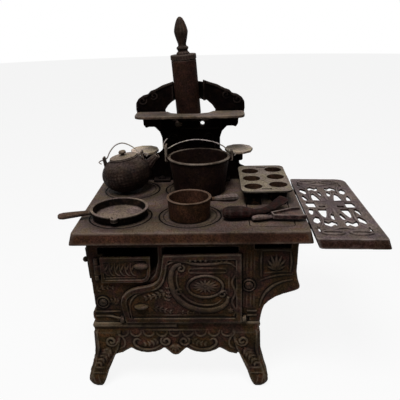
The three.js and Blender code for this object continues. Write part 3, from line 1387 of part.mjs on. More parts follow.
function coalShovel() {
  const grip = moved(handle(shovelGrip, shovelGripShares), 0, 0, shovelGrip.thickness / 2);
  const start = bladeStartShare * shovelGrip.length;
  const end = start + bladeLength;
  const floorShape = [[start, -bladeNeck / 2], [end - bladeNeck, -bladeFront / 2], [end, -bladeFront / 2],
    [end, bladeFront / 2], [end - bladeNeck, bladeFront / 2], [start, bladeNeck / 2]];
  const bottom = (shovelGrip.thickness - bladeThick) / 2;
  const block = lying(outline(floorShape), bottom, bladeWallHeight);
  const wellShape = [[start + bladeThick, -bladeNeck / 2 + bladeThick],
    [end - bladeNeck, -bladeFront / 2 + bladeThick], [end + cutOver, -bladeFront / 2 + bladeThick],
    [end + cutOver, bladeFront / 2 - bladeThick], [end - bladeNeck, bladeFront / 2 - bladeThick],
    [start + bladeThick, bladeNeck / 2 - bladeThick]];
  const well = lying(outline(wellShape), bottom + bladeThick, bladeWallHeight);
  return joined([grip, carved(block, [well])]);
}

// Screws and nuts
function panScrew(length) {
  const head = turned([[0, -screwHeadHeight], [screwHeadRadius / 2, -screwHeadHeight],
    [screwHeadRadius, -screwHeadHeight / 3], [screwHeadRadius, 0], [0, 0]], smallSides);
  const shank = rod('z', screwRadius, length + fit, [0, 0, -fit], 10);
  const slot = box(-screwHeadRadius - cutOver, screwHeadRadius + cutOver, -slotWidth / 2, slotWidth / 2,
    -screwHeadHeight - cutOver, slotDepth - screwHeadHeight);
  return carved(joined([head, shank]), [slot]);
}

function tieNut() {
  const outer = rod('z', nutAcross / Math.sqrt(3), nutThick, [0, 0, 0], 6);
  return carved(outer, [rod('z', screwRadius + screwHole, nutThick + 2 * cutOver, [0, 0, -cutOver], 12)]);
}

function tiePair(side, [x, z]) {
  const length = bodyDepth + 2 * fit + nutThick + tieEndOver;
  const screw = piece(`tie_screw_${side}`, panScrew(length), ironDark);
  screw.position.set(x, bodyFront - fit, z);
  screw.rotation.x = -quarterTurn;
  const nut = piece(`tie_nut_${side}`, tieNut(), ironDark);
  nut.position.set(x, bodyBack + fit, z);
  nut.rotation.x = -quarterTurn;
  return [screw, nut];
}

function bodyPieces() {
  const sidePin = hingePin(sideHingeX, sideHingeY, sideLugHeights()[0] - fit,
    sideLugHeights()[1] + lugHeight + fit);
  const sideGroup = new THREE.Group();
  sideGroup.position.set(wallFootX, 0, plinthTop);
  sideGroup.rotation.y = -wallLean;
  sideGroup.add(piece('side_door', sideDoor(), ironBody), piece('side_door_pin', sidePin, ironDark));
  const firePin = hingePin(fireHingeX, fireHingeY, fireLugHeights()[0] - fit,
    fireLugHeights()[1] + lugHeight + fit);
  const baseScrews = baseScrewPlaces().map(({ name, x, y }) => {
    const screw = piece(name, panScrew(baseScrewLength - fit), ironDark);
    screw.position.set(x, y, baseScrewHead() + screwHeadHeight);
    return screw;
  });
  return [
    piece('leg_base', legBase(), ironBody), piece('front_panel', frontPanel(), ironBody),
    piece('back_panel', backPanel(), ironBody), piece('left_panel', leftPanel(), ironBody),
    piece('right_panel', rightPanel(), ironBody), piece('firebox_partition', firePartition(), ironDark),
    piece('fire_grate', fireGrate(), ironDark), piece('oven_door', ovenDoor(), ironBody),
    piece('fire_door', fireDoor(), ironBody), piece('fire_door_pin', firePin, ironDark), sideGroup,
    ...tiePair('left', tieLeft), ...tiePair('right', tieRight), ...baseScrews];
}

function topPieces() {
  const lids = lidPlaces().map(({ name, x, y }) => {
    const lid = piece(name, roundLid(), ironTop);
    lid.position.set(x, y, plateTop - lidThick);
    return lid;
  });
  const footScrews = footScrewPlaces().map(({ name, x }) => {
    const screw = piece(name, panScrew(footScrewLength), ironDark);
    screw.position.set(x, footScrewY(), cookingTop + footTabThick + fit);
    screw.rotation.x = 2 * quarterTurn;
    return screw;
  });
  const shelf = piece('side_shelf', sideShelf(), ironTop);
  shelf.position.set(shelfLeft, shelfFront, shelfTop);
  shelf.rotation.y = shelfSag;
  return [piece('top_plate', topPlate(), ironSkirt), ...lids, piece('reservoir_lid', tankLid(), ironTop),
    ...footScrews, shelf];
}

function backPieces() {
  const teapots = [['left', -1], ['right', 1]].map(([side, way]) => {
    const shelf = piece(`teapot_shelf_${side}`, teapotShelf(), ironTop);
    shelf.position.set(highBackCentre + way * teapotSpread, teapotBossY(), teapotTop);
    return shelf;
  });
  const shelfScrew = piece('shelf_screw', panScrew(flangeThick + highBackThick + screwHeadHeight), ironDark);
  shelfScrew.position.set(highBackCentre - shelfHoleSpread, highBackFront - flangeThick - 2 * fit,
    shelfHoleHeight);
  shelfScrew.rotation.x = -quarterTurn;
  const pipeGroup = new THREE.Group();
  pipeGroup.position.set(pipeX, pipeY, seatTop + fit + pipeRadius * Math.sin(pipeLean));
  pipeGroup.rotation.y = -pipeLean;
  const cap = piece('pipe_cap', pipeCap(), ironBody);
  cap.position.z = pipeLength;
  pipeGroup.add(piece('stovepipe', stovepipe(), ironBody), cap);
  return [piece('high_back', highBack(), ironDark), piece('warming_shelf', warmingShelf(), ironTop),
    ...teapots, shelfScrew, pipeGroup];
}

function kettlePieces() {
  const body = piece('kettle_body', kettleBody(), ironKettle);
  const lid = piece('kettle_lid', kettleLid(), ironKettle);
  lid.position.z = kettleNeckTop() + fit;
  const bail = piece('kettle_bail', kettleBail(), steelWire, 0.4, 0.8);
  bail.position.z = kettlePivotHeight;
  bail.rotation.x = -kettleBailLean;
  const group = new THREE.Group();
  const footDrop = kettleHalfHeight * Math.sin(Math.acos(kettleFoot / kettleRadius));
  const drop = footDrop * Math.cos(kettleLean) + kettleFoot * Math.sin(kettleLean);
  group.position.set(kettleX, kettleY, cookingTop + drop);
  group.rotation.y = -kettleLean;
  group.add(body, lid, bail);
  return group;
}

function stewPotPieces() {
  const group = new THREE.Group();
  group.position.set(potX, potY, cookingTop);
  const bail = piece('stew_pot_bail', potBail(), steelWire, 0.4, 0.8);
  const { left, right } = potPivots();
  const bailFrame = new THREE.Group();
  bailFrame.position.set(0, 0, (left[2] + right[2]) / 2);
  bailFrame.rotation.y = Math.atan2(left[2] - right[2], right[0] - left[0]);
  bail.rotation.x = -potBailLean;
  bailFrame.add(bail);
  group.add(piece('stew_pot', stewPot(), ironBody), bailFrame);
  return group;
}

function looseTool(name, geometry, [x, y], heading, bottom, color) {
  const mesh = piece(name, geometry, color);
  mesh.position.set(x, y, bottom);
  mesh.rotation.z = heading;
  return mesh;
}

function utensils() {
  const pan = piece('skillet', skillet(), ironTan);
  pan.position.set(skilletX, skilletY, cookingTop);
  const sauce = piece('saucepan', saucepan(), ironRust);
  sauce.position.set(saucepanX, saucepanY, cookingTop);
  const muffin = piece('muffin_pan', muffinPan(), ironTan);
  muffin.position.set(muffinX, muffinY, cookingTop);
  const lifterBottom = cookingTop + lifterBottomGap + lifter.thickness / 2;
  return [pan, sauce, muffin, kettlePieces(), stewPotPieces(),
    looseTool('lid_lifter', toGeometry(toSolid(handle(lifter, lifterShares, 12))), lifterStart, lifterHeading,
      lifterBottom, ironRust),
    looseTool('coal_shovel', coalShovel(), shovelStart, shovelHeading, cookingTop, ironTan)];
}

// The whole stove, set on the floor with its origin under the middle of its box
const stove = new THREE.Group();
stove.add(...bodyPieces(), ...topPieces(), ...backPieces(), ...utensils());
stove.updateMatrixWorld(true);
const span = new THREE.Box3().setFromObject(stove, true);
stove.position.set(-(span.min.x + span.max.x) / 2, -(span.min.y + span.max.y) / 2, -span.min.z);

export default stove;
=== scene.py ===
import json
import math

import bmesh
import bpy
import numpy as np
from mathutils import Matrix, Vector
from mathutils.bvhtree import BVHTree


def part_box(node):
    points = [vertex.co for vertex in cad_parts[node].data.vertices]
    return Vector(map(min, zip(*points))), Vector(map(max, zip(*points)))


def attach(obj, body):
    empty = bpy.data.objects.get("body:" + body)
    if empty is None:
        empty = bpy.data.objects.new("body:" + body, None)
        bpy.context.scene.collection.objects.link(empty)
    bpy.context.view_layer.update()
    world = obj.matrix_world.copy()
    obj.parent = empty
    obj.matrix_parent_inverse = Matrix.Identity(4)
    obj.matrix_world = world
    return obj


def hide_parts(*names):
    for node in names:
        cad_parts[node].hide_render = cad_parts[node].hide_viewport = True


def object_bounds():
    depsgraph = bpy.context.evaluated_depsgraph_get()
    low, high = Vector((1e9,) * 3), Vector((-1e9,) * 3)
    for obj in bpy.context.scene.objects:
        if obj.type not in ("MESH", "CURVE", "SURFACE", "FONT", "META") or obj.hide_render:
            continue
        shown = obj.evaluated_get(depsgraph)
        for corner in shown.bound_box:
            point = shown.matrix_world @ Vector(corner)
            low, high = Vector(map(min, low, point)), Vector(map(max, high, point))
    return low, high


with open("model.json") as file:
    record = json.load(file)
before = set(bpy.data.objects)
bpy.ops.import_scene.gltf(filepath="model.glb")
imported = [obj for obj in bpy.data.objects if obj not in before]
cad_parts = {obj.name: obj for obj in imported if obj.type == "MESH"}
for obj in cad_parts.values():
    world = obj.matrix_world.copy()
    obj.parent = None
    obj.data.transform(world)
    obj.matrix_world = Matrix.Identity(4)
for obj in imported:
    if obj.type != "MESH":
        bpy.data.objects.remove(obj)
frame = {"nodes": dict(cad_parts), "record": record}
cad_low, cad_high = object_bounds()


# The camera looks at the doors from a little above and a little to the right.
# Its lens, place and angles, in radians, were solved from the edges of the top plate, body and base.
mm = 0.001
plate_low, plate_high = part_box("top_plate")
plate_flare = 2.5 * mm
plate_front = Vector(((plate_low.x + plate_high.x) / 2, plate_low.y + plate_flare, 0))


def spot(across, deep, high):
    """A point of the stove in millimetres from the middle of the plate's front edge and the floor."""
    return plate_front + Vector((across, deep, high)) * mm


camera = bpy.data.objects.new("camera", bpy.data.cameras.new("camera"))
camera.data.lens = 45.343
camera.data.sensor_width = 36
camera_down, camera_left, camera_tilt = 0.3555, 0.0348, 0.0243
ahead = Vector((-math.sin(camera_left) * math.cos(camera_down),
                math.cos(camera_left) * math.cos(camera_down), -math.sin(camera_down)))
level_side = ahead.cross(Vector((0, 0, 1))).normalized()
level_down = ahead.cross(level_side)
side = math.cos(camera_tilt) * level_side + math.sin(camera_tilt) * level_down
down = math.cos(camera_tilt) * level_down - math.sin(camera_tilt) * level_side
camera.matrix_world = Matrix((side, -down, -ahead)).transposed().to_4x4()
camera.location = spot(22.82, -390.58, 338.60)
bpy.context.scene.collection.objects.link(camera)
bpy.context.scene.camera = camera
bpy.context.scene.view_settings.view_transform = "Standard"


# Studio light: a wide soft lamp overhead and a faint one at the front left, in a dim room.
# The floor is a pale sheet that throws little light back. It and the walls look white, in gloss too.
def add_node(tree, kind, sockets=None, **settings):
    """A shader node. Its sockets are set to a number or colour, or linked to another node's socket."""
    made = tree.nodes.new(kind)
    for name, value in settings.items():
        setattr(made, name, value)
    for key, value in (sockets or {}).items():
        if isinstance(value, bpy.types.NodeSocket):
            tree.links.new(value, made.inputs[key])
        else:
            made.inputs[key].default_value = value
    return made


def lamp(name, place, aim, across, watts):
    """A round soft lamp, turned towards what it lights."""
    made = bpy.data.objects.new(name, bpy.data.lights.new(name, "AREA"))
    made.data.shape = "DISK"
    made.data.size = across
    made.data.energy = watts
    made.location = place
    made.rotation_euler = (aim - place).to_track_quat("-Z", "Y").to_euler()
    bpy.context.scene.collection.objects.link(made)


stove_middle = (cad_low + cad_high) / 2
lamp("overhead_lamp", Vector((-0.14, -0.56, 1.24)), stove_middle, across=0.6, watts=15.4)
lamp("front_lamp", Vector((-0.9, -1.1, 0.75)), stove_middle, across=0.5, watts=0.8)


def computed(tree, operation, *values, clamp=True):
    """A sum on two or three values, kept between 0 and 1 unless clamp is off."""
    return add_node(tree, "ShaderNodeMath", dict(enumerate(values)), operation=operation,
                    use_clamp=clamp).outputs[0]


def seen_white(tree, share):
    """The share that is plain white instead, where it is looked at or seen in gloss or through glass."""
    light = add_node(tree, "ShaderNodeLightPath").outputs
    looked_at = computed(tree, "MAXIMUM", light["Is Camera Ray"], light["Is Glossy Ray"])
    seen = computed(tree, "MAXIMUM", looked_at, light["Is Transmission Ray"])
    return computed(tree, "MULTIPLY", seen, share)


fill_strength = 0.04
room = bpy.data.worlds.new("white_room")
room.use_nodes = True
room.node_tree.nodes.clear()
soft_fill = add_node(room.node_tree, "ShaderNodeBackground", {"Color": (1, 1, 1, 1),
                                                              "Strength": fill_strength})
white_wall = add_node(room.node_tree, "ShaderNodeBackground", {"Color": (1, 1, 1, 1), "Strength": 1})
backdrop = add_node(room.node_tree, "ShaderNodeMixShader", {
    0: seen_white(room.node_tree, 1), 1: soft_fill.outputs[0], 2: white_wall.outputs[0]})
add_node(room.node_tree, "ShaderNodeOutputWorld", {"Surface": backdrop.outputs[0]})
bpy.context.scene.world = room

floor_radius = 4
sheet = bmesh.new()
bmesh.ops.create_circle(sheet, cap_ends=True, segments=64, radius=floor_radius)
bmesh.ops.translate(sheet, verts=sheet.verts, vec=(0, 0, cad_low.z))
floor = bpy.data.objects.new("floor", bpy.data.meshes.new("floor"))
sheet.to_mesh(floor.data)
sheet.free()
bpy.context.scene.collection.objects.link(floor)
paper = bpy.data.materials.new("white_paper")
paper.use_nodes = True
paper.node_tree.nodes.clear()
paper_colour = (0.2, 0.2, 0.2, 1)
white_share, white_strength = 0.6, 1.5
matt = add_node(paper.node_tree, "ShaderNodeBsdfDiffuse", {"Color": paper_colour})
plain_white = add_node(paper.node_tree, "ShaderNodeEmission", {"Color": (1, 1, 1, 1),
                                                               "Strength": white_strength})
lit_sheet = add_node(paper.node_tree, "ShaderNodeMixShader", {
    0: seen_white(paper.node_tree, white_share), 1: matt.outputs[0], 2: plain_white.outputs[0]})
add_node(paper.node_tree, "ShaderNodeOutputMaterial", {"Surface": lit_sheet.outputs[0]})
floor.data.materials.append(paper)


# Base: one iron casting with a rim, four cabriole legs and a scalloped apron with leaves and scrolls.
# It is sand cast, lacquered brown-black, and worn to bare metal on its ridges with rust between them.
# Its ridges also carry a painted highlight, and painted shade darkens its hollows.
# Four screws that come up through its floor hold the body.
def tint(red, green, blue):
    """A colour given as red, green and blue from 0 to 255, made linear for a shader."""
    return tuple(((c / 255 + 0.055) / 1.055) ** 2.4 if c > 10 else c / 255 / 12.92
                 for c in (red, green, blue)) + (1,)


def blended(tree, share, first, second, mode="MIX"):
    """The first colour, with a share of the second mixed in or multiplied on."""
    made = add_node(tree, "ShaderNodeMix", {0: share, 6: first, 7: second}, data_type="RGBA",
                    blend_type=mode, clamp_factor=True)
    return made.outputs[2]


def ranged(tree, value, low, high, new_low=0.0, new_high=1.0, curve="SMOOTHSTEP"):
    """What lies between low and high in a value, spread over a new range."""
    return add_node(tree, "ShaderNodeMapRange", {0: value, 1: low, 2: high, 3: new_low, 4: new_high},
                    interpolation_type=curve).outputs[0]


def noise(tree, place, scale, detail, roughness, distortion=0.0):
    """A cloudy pattern that stays with the piece."""
    return add_node(tree, "ShaderNodeTexNoise", {
        "Vector": place, "Scale": scale, "Detail": detail, "Roughness": roughness,
        "Distortion": distortion}).outputs[0]


def make_skin_group():
    """The skin of old cast iron: patches, dust on top that also paints the light falling there, rust,
    bare metal on crests that also paints their highlight, soot in hollows that also paints their shade,
    grain.
    """
    group = bpy.data.node_groups.new("cast_iron_skin", "ShaderNodeTree")
    for name in ("Paint", "Dust And Top Light", "Rust", "Bare And Highlight", "Soot And Shade"):
        group.interface.new_socket(name, in_out="INPUT", socket_type="NodeSocketColor")
    for name in ("Dust And Top Light Share", "Rust Share", "Stain Share", "Wear And Highlight Share", "Soot And Shade Share", "Grain Size"):
        group.interface.new_socket(name, in_out="INPUT", socket_type="NodeSocketFloat")
    for name, kind in (("Colour", "NodeSocketColor"), ("Roughness", "NodeSocketFloat"),
                       ("Height", "NodeSocketFloat")):
        group.interface.new_socket(name, in_out="OUTPUT", socket_type=kind)
    given = add_node(group, "NodeGroupInput").outputs
    coordinates = add_node(group, "ShaderNodeTexCoord").outputs
    place = coordinates["Object"]
    patches = noise(group, place, scale=30, detail=5, roughness=0.62)
    blotches = noise(group, place, scale=120, detail=7, roughness=0.7, distortion=0.5)
    grain = noise(group, place, scale=given["Grain Size"], detail=4, roughness=0.65)
    stains = noise(group, place, scale=52, detail=4, roughness=0.6, distortion=0.8)
    pits = add_node(group, "ShaderNodeTexVoronoi", {"Vector": place, "Scale": 480,
                                                    "Randomness": 1}).outputs["Distance"]
    soft_normal = add_node(group, "ShaderNodeBevel", {"Radius": 0.0008}, samples=4).outputs[0]
    true_normal = add_node(group, "ShaderNodeNewGeometry").outputs["Normal"]
    facing = add_node(group, "ShaderNodeVectorMath", {0: soft_normal, 1: true_normal},
                      operation="DOT_PRODUCT").outputs["Value"]
    edge = ranged(group, facing, 0.995, 0.86)
    open_sky = add_node(group, "ShaderNodeAmbientOcclusion", {"Distance": 0.004}, samples=6).outputs["AO"]
    crest, raised, hollow = (add_node(group, "ShaderNodeAttribute", attribute_name=label).outputs["Fac"]
                             for label in ("crest", "raised", "hollow"))
    upward = add_node(group, "ShaderNodeSeparateXYZ", {0: coordinates["Normal"]}).outputs["Z"]
    # Faces that look up take the dust colour: partly dust, partly painted light from above on tops.
    dusted_and_top_lit = computed(group, "MULTIPLY", ranged(group, upward, 0.35, 0.9), given["Dust And Top Light Share"])
    # Edges and crests take the bare colour: partly wear, partly a painted highlight on the ridges.
    handled_and_highlit = computed(group, "MAXIMUM", computed(group, "MULTIPLY", edge, open_sky), crest)
    raised_share = 0.5
    broad = computed(group, "MAXIMUM", handled_and_highlit, computed(group, "MULTIPLY", raised, raised_share))
    patchy = computed(group, "MULTIPLY", ranged(group, patches, 0.36, 0.58, 0.25, 1),
                      ranged(group, blotches, 0.25, 0.6, 0.35, 1))
    rubbed_and_highlit = computed(group, "MULTIPLY", broad, patchy)
    wear_and_highlight = computed(group, "MULTIPLY", rubbed_and_highlit, given["Wear And Highlight Share"])
    rust = computed(group, "MULTIPLY", ranged(group, blotches, 0.44, 0.64), given["Rust Share"])
    # Hollows and places that see little open sky take the soot colour: partly soot, partly painted shade.
    shut_in = computed(group, "MAXIMUM", ranged(group, open_sky, 0.9, 0.4), hollow)
    soot_and_shade = computed(group, "MULTIPLY", shut_in, given["Soot And Shade Share"])
    uneven = ranged(group, patches, 0.3, 0.7, 0.55, 1.5, curve="LINEAR")
    speckle = ranged(group, grain, 0.34, 0.66, 0.4, 1.7, curve="LINEAR")
    shade = computed(group, "MULTIPLY", uneven, speckle, clamp=False)
    painted = blended(group, dusted_and_top_lit, given["Paint"], given["Dust And Top Light"])
    rusted = blended(group, rust, painted, given["Rust"])
    olive, wine = (1.14, 1.06, 0.7, 1), (1.06, 0.86, 1.04, 1)
    hue = blended(group, ranged(group, stains, 0.43, 0.57), olive, wine)
    stained = blended(group, given["Stain Share"], rusted, hue, "MULTIPLY")
    varied = blended(group, 1.0, stained, shade, "MULTIPLY")
    bared_and_highlit = blended(group, wear_and_highlight, varied, given["Bare And Highlight"])
    sooted_and_shaded = blended(group, soot_and_shade, bared_and_highlit, given["Soot And Shade"])
    dull = ranged(group, patches, 0.3, 0.7, 0.5, 0.7, curve="LINEAR")
    wear_polish = 0.16
    polish = computed(group, "MULTIPLY", wear_and_highlight, wear_polish)
    rough = computed(group, "SUBTRACT", dull, polish, clamp=False)
    pit_depth, grain_depth, blotch_depth = 0.35, 0.7, 0.9
    pitted = computed(group, "MULTIPLY", pits, pit_depth)
    fine = computed(group, "MULTIPLY_ADD", grain, grain_depth, pitted, clamp=False)
    height = computed(group, "MULTIPLY_ADD", blotches, blotch_depth, fine, clamp=False)
    add_node(group, "NodeGroupOutput", {"Colour": sooted_and_shaded, "Roughness": rough, "Height": height})
    return group


skin_group = make_skin_group()


def iron(name, paint, dust_and_top_light, rust, bare_and_highlight, soot_and_shade, dust_and_top_light_share=1, rust_share=0.6, stain_share=0.33, wear_and_highlight_share=0.7,
         soot_and_shade_share=0.8, grain_size=720, metallic=0.06, gloss=0.05, bump=0.0005):
    """A cast-iron finish: the shared skin with this piece's own colours and amounts."""
    finish = bpy.data.materials.new(name)
    finish.use_nodes = True
    tree = finish.node_tree
    tree.nodes.clear()
    skin = add_node(tree, "ShaderNodeGroup", node_tree=skin_group)
    for key, value in {"Paint": paint, "Dust And Top Light": dust_and_top_light, "Rust": rust, "Bare And Highlight": bare_and_highlight, "Soot And Shade": soot_and_shade,
                       "Dust And Top Light Share": dust_and_top_light_share, "Rust Share": rust_share, "Stain Share": stain_share,
                       "Wear And Highlight Share": wear_and_highlight_share, "Soot And Shade Share": soot_and_shade_share, "Grain Size": grain_size}.items():
        skin.inputs[key].default_value = value
    relief = add_node(tree, "ShaderNodeBump", {"Height": skin.outputs["Height"], "Distance": bump,
                                               "Strength": 0.8})
    metal = add_node(tree, "ShaderNodeBsdfPrincipled", {
        "Base Color": skin.outputs["Colour"], "Roughness": skin.outputs["Roughness"],
        "Metallic": metallic, "Specular IOR Level": gloss, "Normal": relief.outputs[0]})
    add_node(tree, "ShaderNodeOutputMaterial", {"Surface": metal.outputs[0]})
    return finish


slot_of = {part["node"]: part["material_slot"] for part in frame["record"]["subparts"]}
body_of = {node: body for body, nodes in frame["record"]["behaviour"]["bodies"].items() for node in nodes}


def dress(piece, finish, node):
    """The piece takes its finish, stands for its CAD node and rides with that node's body."""
    piece.data.materials.clear()
    piece.data.materials.append(finish)
    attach(piece, body_of[node])
    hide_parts(node)


same_place = 3e-6


class Casting:
    """A node's own shape, with relief drawn on its faces and then cast with it as one skin."""

    def __init__(self, node):
        self.node = node
        self.shape = bmesh.new()
        self.shape.from_mesh(frame["nodes"][node].data)
        bmesh.ops.remove_doubles(self.shape, verts=self.shape.verts, dist=same_place)
        bmesh.ops.recalc_face_normals(self.shape, faces=self.shape.faces)
        self.ground = BVHTree.FromBMesh(self.shape)
        self.bars = bpy.data.curves.new("relief", "CURVE")
        self.bars.dimensions = "3D"
        self.bars.bevel_depth = mm
        self.bars.bevel_resolution = 2
        self.bars.resolution_u = 4
        self.bars.use_fill_caps = True

    def face(self, heading, place):
        """The face to draw on: which way to look for it, and what puts a drawn point in front of it."""
        self.heading = Vector(heading)
        self.place = place

    def under(self, across, high):
        """The point of the face behind a drawn point, and which way the face looks there."""
        stand_off = 0.06
        start = self.place(across, high) - self.heading * stand_off
        found, normal, *_ = self.ground.ray_cast(start, self.heading)
        return (found, normal) if found else None

    def line(self, drawing, width, height, ends=0.4, closed=False, fullness=None):
        """A raised line: a round bar, sunk so that a crown of this width and height stands out.

        Ends is how full its two ends are, and fullness says it for each of its points.
        """
        places = [place for place in (self.under(a, b) for a, b in drawing) if place]
        if len(places) < 2:
            return
        radius = (width ** 2 / 4 + height ** 2) / (2 * height)
        run = self.bars.splines.new("BEZIER")
        run.bezier_points.add(len(places) - 1)
        run.use_cyclic_u = closed
        for number, (knot, (place, normal)) in enumerate(zip(run.bezier_points, places)):
            from_end = min(number, len(places) - 1 - number)
            full = 1 if closed or from_end > 1 else ends + (1 - ends) * from_end / 2
            if fullness and len(fullness) == len(places):
                full = fullness[number]
            knot.radius = radius * full
            knot.handle_left_type = knot.handle_right_type = "AUTO"
            knot.co = place - normal * (radius - height) * full * mm

    def ring(self, across, high, radius, width, height):
        """A raised circle."""
        turns = [math.tau * number / 16 for number in range(16)]
        self.line([(across + radius * math.cos(a), high + radius * math.sin(a)) for a in turns],
                  width, height, closed=True)

    def curl(self, across, high, radius, start, turns, hand, width, height):
        """A spiral that winds inwards, to the left with a hand of 1 and to the right with -1."""
        steps = round(turns * 8)
        wound_in = 0.8
        points = []
        for step in range(steps + 1):
            turn = math.radians(start + hand * 360 * turns * step / steps)
            reach = radius * (1 - wound_in * step / steps)
            points.append((across + reach * math.cos(turn), high + reach * math.sin(turn)))
        self.line(points, width, height)

    def leaf(self, root, tip, width, height):
        """A flattened drop, widest near its root, that comes to a point."""
        drawing = [(root[0] + (tip[0] - root[0]) * share, root[1] + (tip[1] - root[1]) * share)
                   for share in (0, 0.3, 0.65, 1)]
        self.line(drawing, width, height, fullness=(0.45, 1, 0.75, 0.12))

    def frond(self, stem, pairs, length, width, height, lean=52):
        """A curved stem with pairs of leaves that shrink towards its end."""
        self.line(stem, width * 0.55, height)
        for pair in range(pairs):
            share = (pair + 0.4) / pairs * (len(stem) - 1)
            (left, low), (right, top) = stem[int(share)], stem[int(share) + 1]
            root = (left + (right - left) * (share % 1), low + (top - low) * (share % 1))
            onward = math.atan2(top - low, right - left)
            reach = length * (1 - 0.5 * pair / pairs)
            for turn in (-lean, lean):
                way = onward + math.radians(turn)
                tip = (root[0] + reach * math.cos(way), root[1] + reach * math.sin(way))
                self.leaf(root, tip, width * (1 - 0.4 * pair / pairs), height)

    def rosette(self, across, high, reach, petals, width, height, squeeze=1.0):
        """Leaves that radiate from a small boss. Squeeze makes the whole lower than it is wide."""
        for number in range(petals):
            turn = math.tau * (number + 0.5) / petals
            tip = (across + reach * math.cos(turn), high + reach * squeeze * math.sin(turn))
            self.leaf((across, high), tip, width, height)
        boss = reach * 0.1
        self.line([(across - boss, high), (across, high), (across + boss, high)], reach * 0.45, height * 1.3,
                  ends=0.8)

    def moulding(self, left, bottom, right, top, corner, width, height):
        """A raised frame with rounded corners."""
        outline = []
        for across, high, start in ((right - corner, top - corner, 0), (left + corner, top - corner, 90),
                                    (left + corner, bottom + corner, 180),
                                    (right - corner, bottom + corner, 270)):
            for step in (0, 45, 90):
                turn = math.radians(start + step)
                outline.append((across + corner * math.cos(turn), high + corner * math.sin(turn)))
        self.line(outline, width, height, closed=True)

    def store_heights(self, skin):
        """Stores on each point, for the finish, how far it stands out of the node and of what is round it."""
        rise_gain, rise_start, standing_gain, standing_start = 1600, 0.3, 9, 0.25
        rises = []
        for point in skin.vertices:
            place, normal, *_ = self.ground.find_nearest(point.co)
            rises.append(min(1, max(0, (point.co - place).dot(normal) * rise_gain - rise_start)))
        points = np.empty(len(skin.vertices) * 3)
        skin.vertices.foreach_get("co", points)
        points = points.reshape(-1, 3)
        normals = np.empty(len(points) * 3)
        skin.vertices.foreach_get("normal", normals)
        ends = np.empty(len(skin.edges) * 2, int)
        skin.edges.foreach_get("vertices", ends)
        first, second = ends.reshape(-1, 2).T
        neighbours = np.bincount(np.r_[first, second], minlength=len(points))[:, None]
        smoothed = points
        smooth_rounds, from_neighbours, from_itself = 8, 0.6, 0.4
        for _ in range(smooth_rounds):
            total = np.zeros_like(points)
            for axis in range(3):
                total[:, axis] = np.bincount(first, smoothed[second, axis], len(points)) + np.bincount(
                    second, smoothed[first, axis], len(points))
            smoothed = total / np.maximum(neighbours, 1) * from_neighbours + smoothed * from_itself
        standing = ((points - smoothed) * normals.reshape(-1, 3)).sum(1) * 1000
        for label, values in (("raised", rises),
                              ("crest", np.clip(standing * standing_gain - standing_start, 0, 1)),
                              ("hollow", np.clip(-standing * standing_gain - standing_start, 0, 1))):
            skin.attributes.new(label, "FLOAT", "POINT").data.foreach_set("value", values)

    def cast(self, name, finish, cell=0.5, rounds=3, keep=0.5):
        """Forms that overlap become one soft-edged skin. Cell is its fineness in millimetres.

        Rounds is how often it is smoothed, and keep the share of its faces that stays.
        """
        holder = bpy.data.objects.new("relief", self.bars)
        bars = bpy.data.meshes.new_from_object(holder)
        self.shape.from_mesh(bars)
        bpy.data.objects.remove(holder)
        bpy.data.curves.remove(self.bars)
        bpy.data.meshes.remove(bars)
        piece = bpy.data.objects.new(name, bpy.data.meshes.new(name))
        self.shape.to_mesh(piece.data)
        self.shape.free()
        bpy.context.scene.collection.objects.link(piece)
        melt = piece.modifiers.new("melt", "REMESH")
        melt.mode = "VOXEL"
        melt.voxel_size = cell * mm * 1
        piece.modifiers.new("soften", "SMOOTH").iterations = rounds
        piece.modifiers.new("thin", "DECIMATE").ratio = keep
        skin = bpy.data.meshes.new_from_object(piece.evaluated_get(bpy.context.evaluated_depsgraph_get()))
        piece.modifiers.clear()
        piece.data = skin
        skin.name = name
        skin.shade_smooth()
        self.store_heights(skin)
        dress(piece, finish, self.node)
        return piece


def mark(piece, label, share_at):
    """Raises one of a casting's stored values to what a rule gives for each point."""
    values = piece.data.attributes[label].data
    for point, value in zip(piece.data.vertices, values):
        value.value = max(value.value, share_at(point.co))


def refinish(piece, finish, is_part):
    """Another finish for the faces of a casting that a rule picks out by their centres."""
    piece.data.materials.append(finish)
    for face in piece.data.polygons:
        if is_part(face.center):
            face.material_index = len(piece.data.materials) - 1


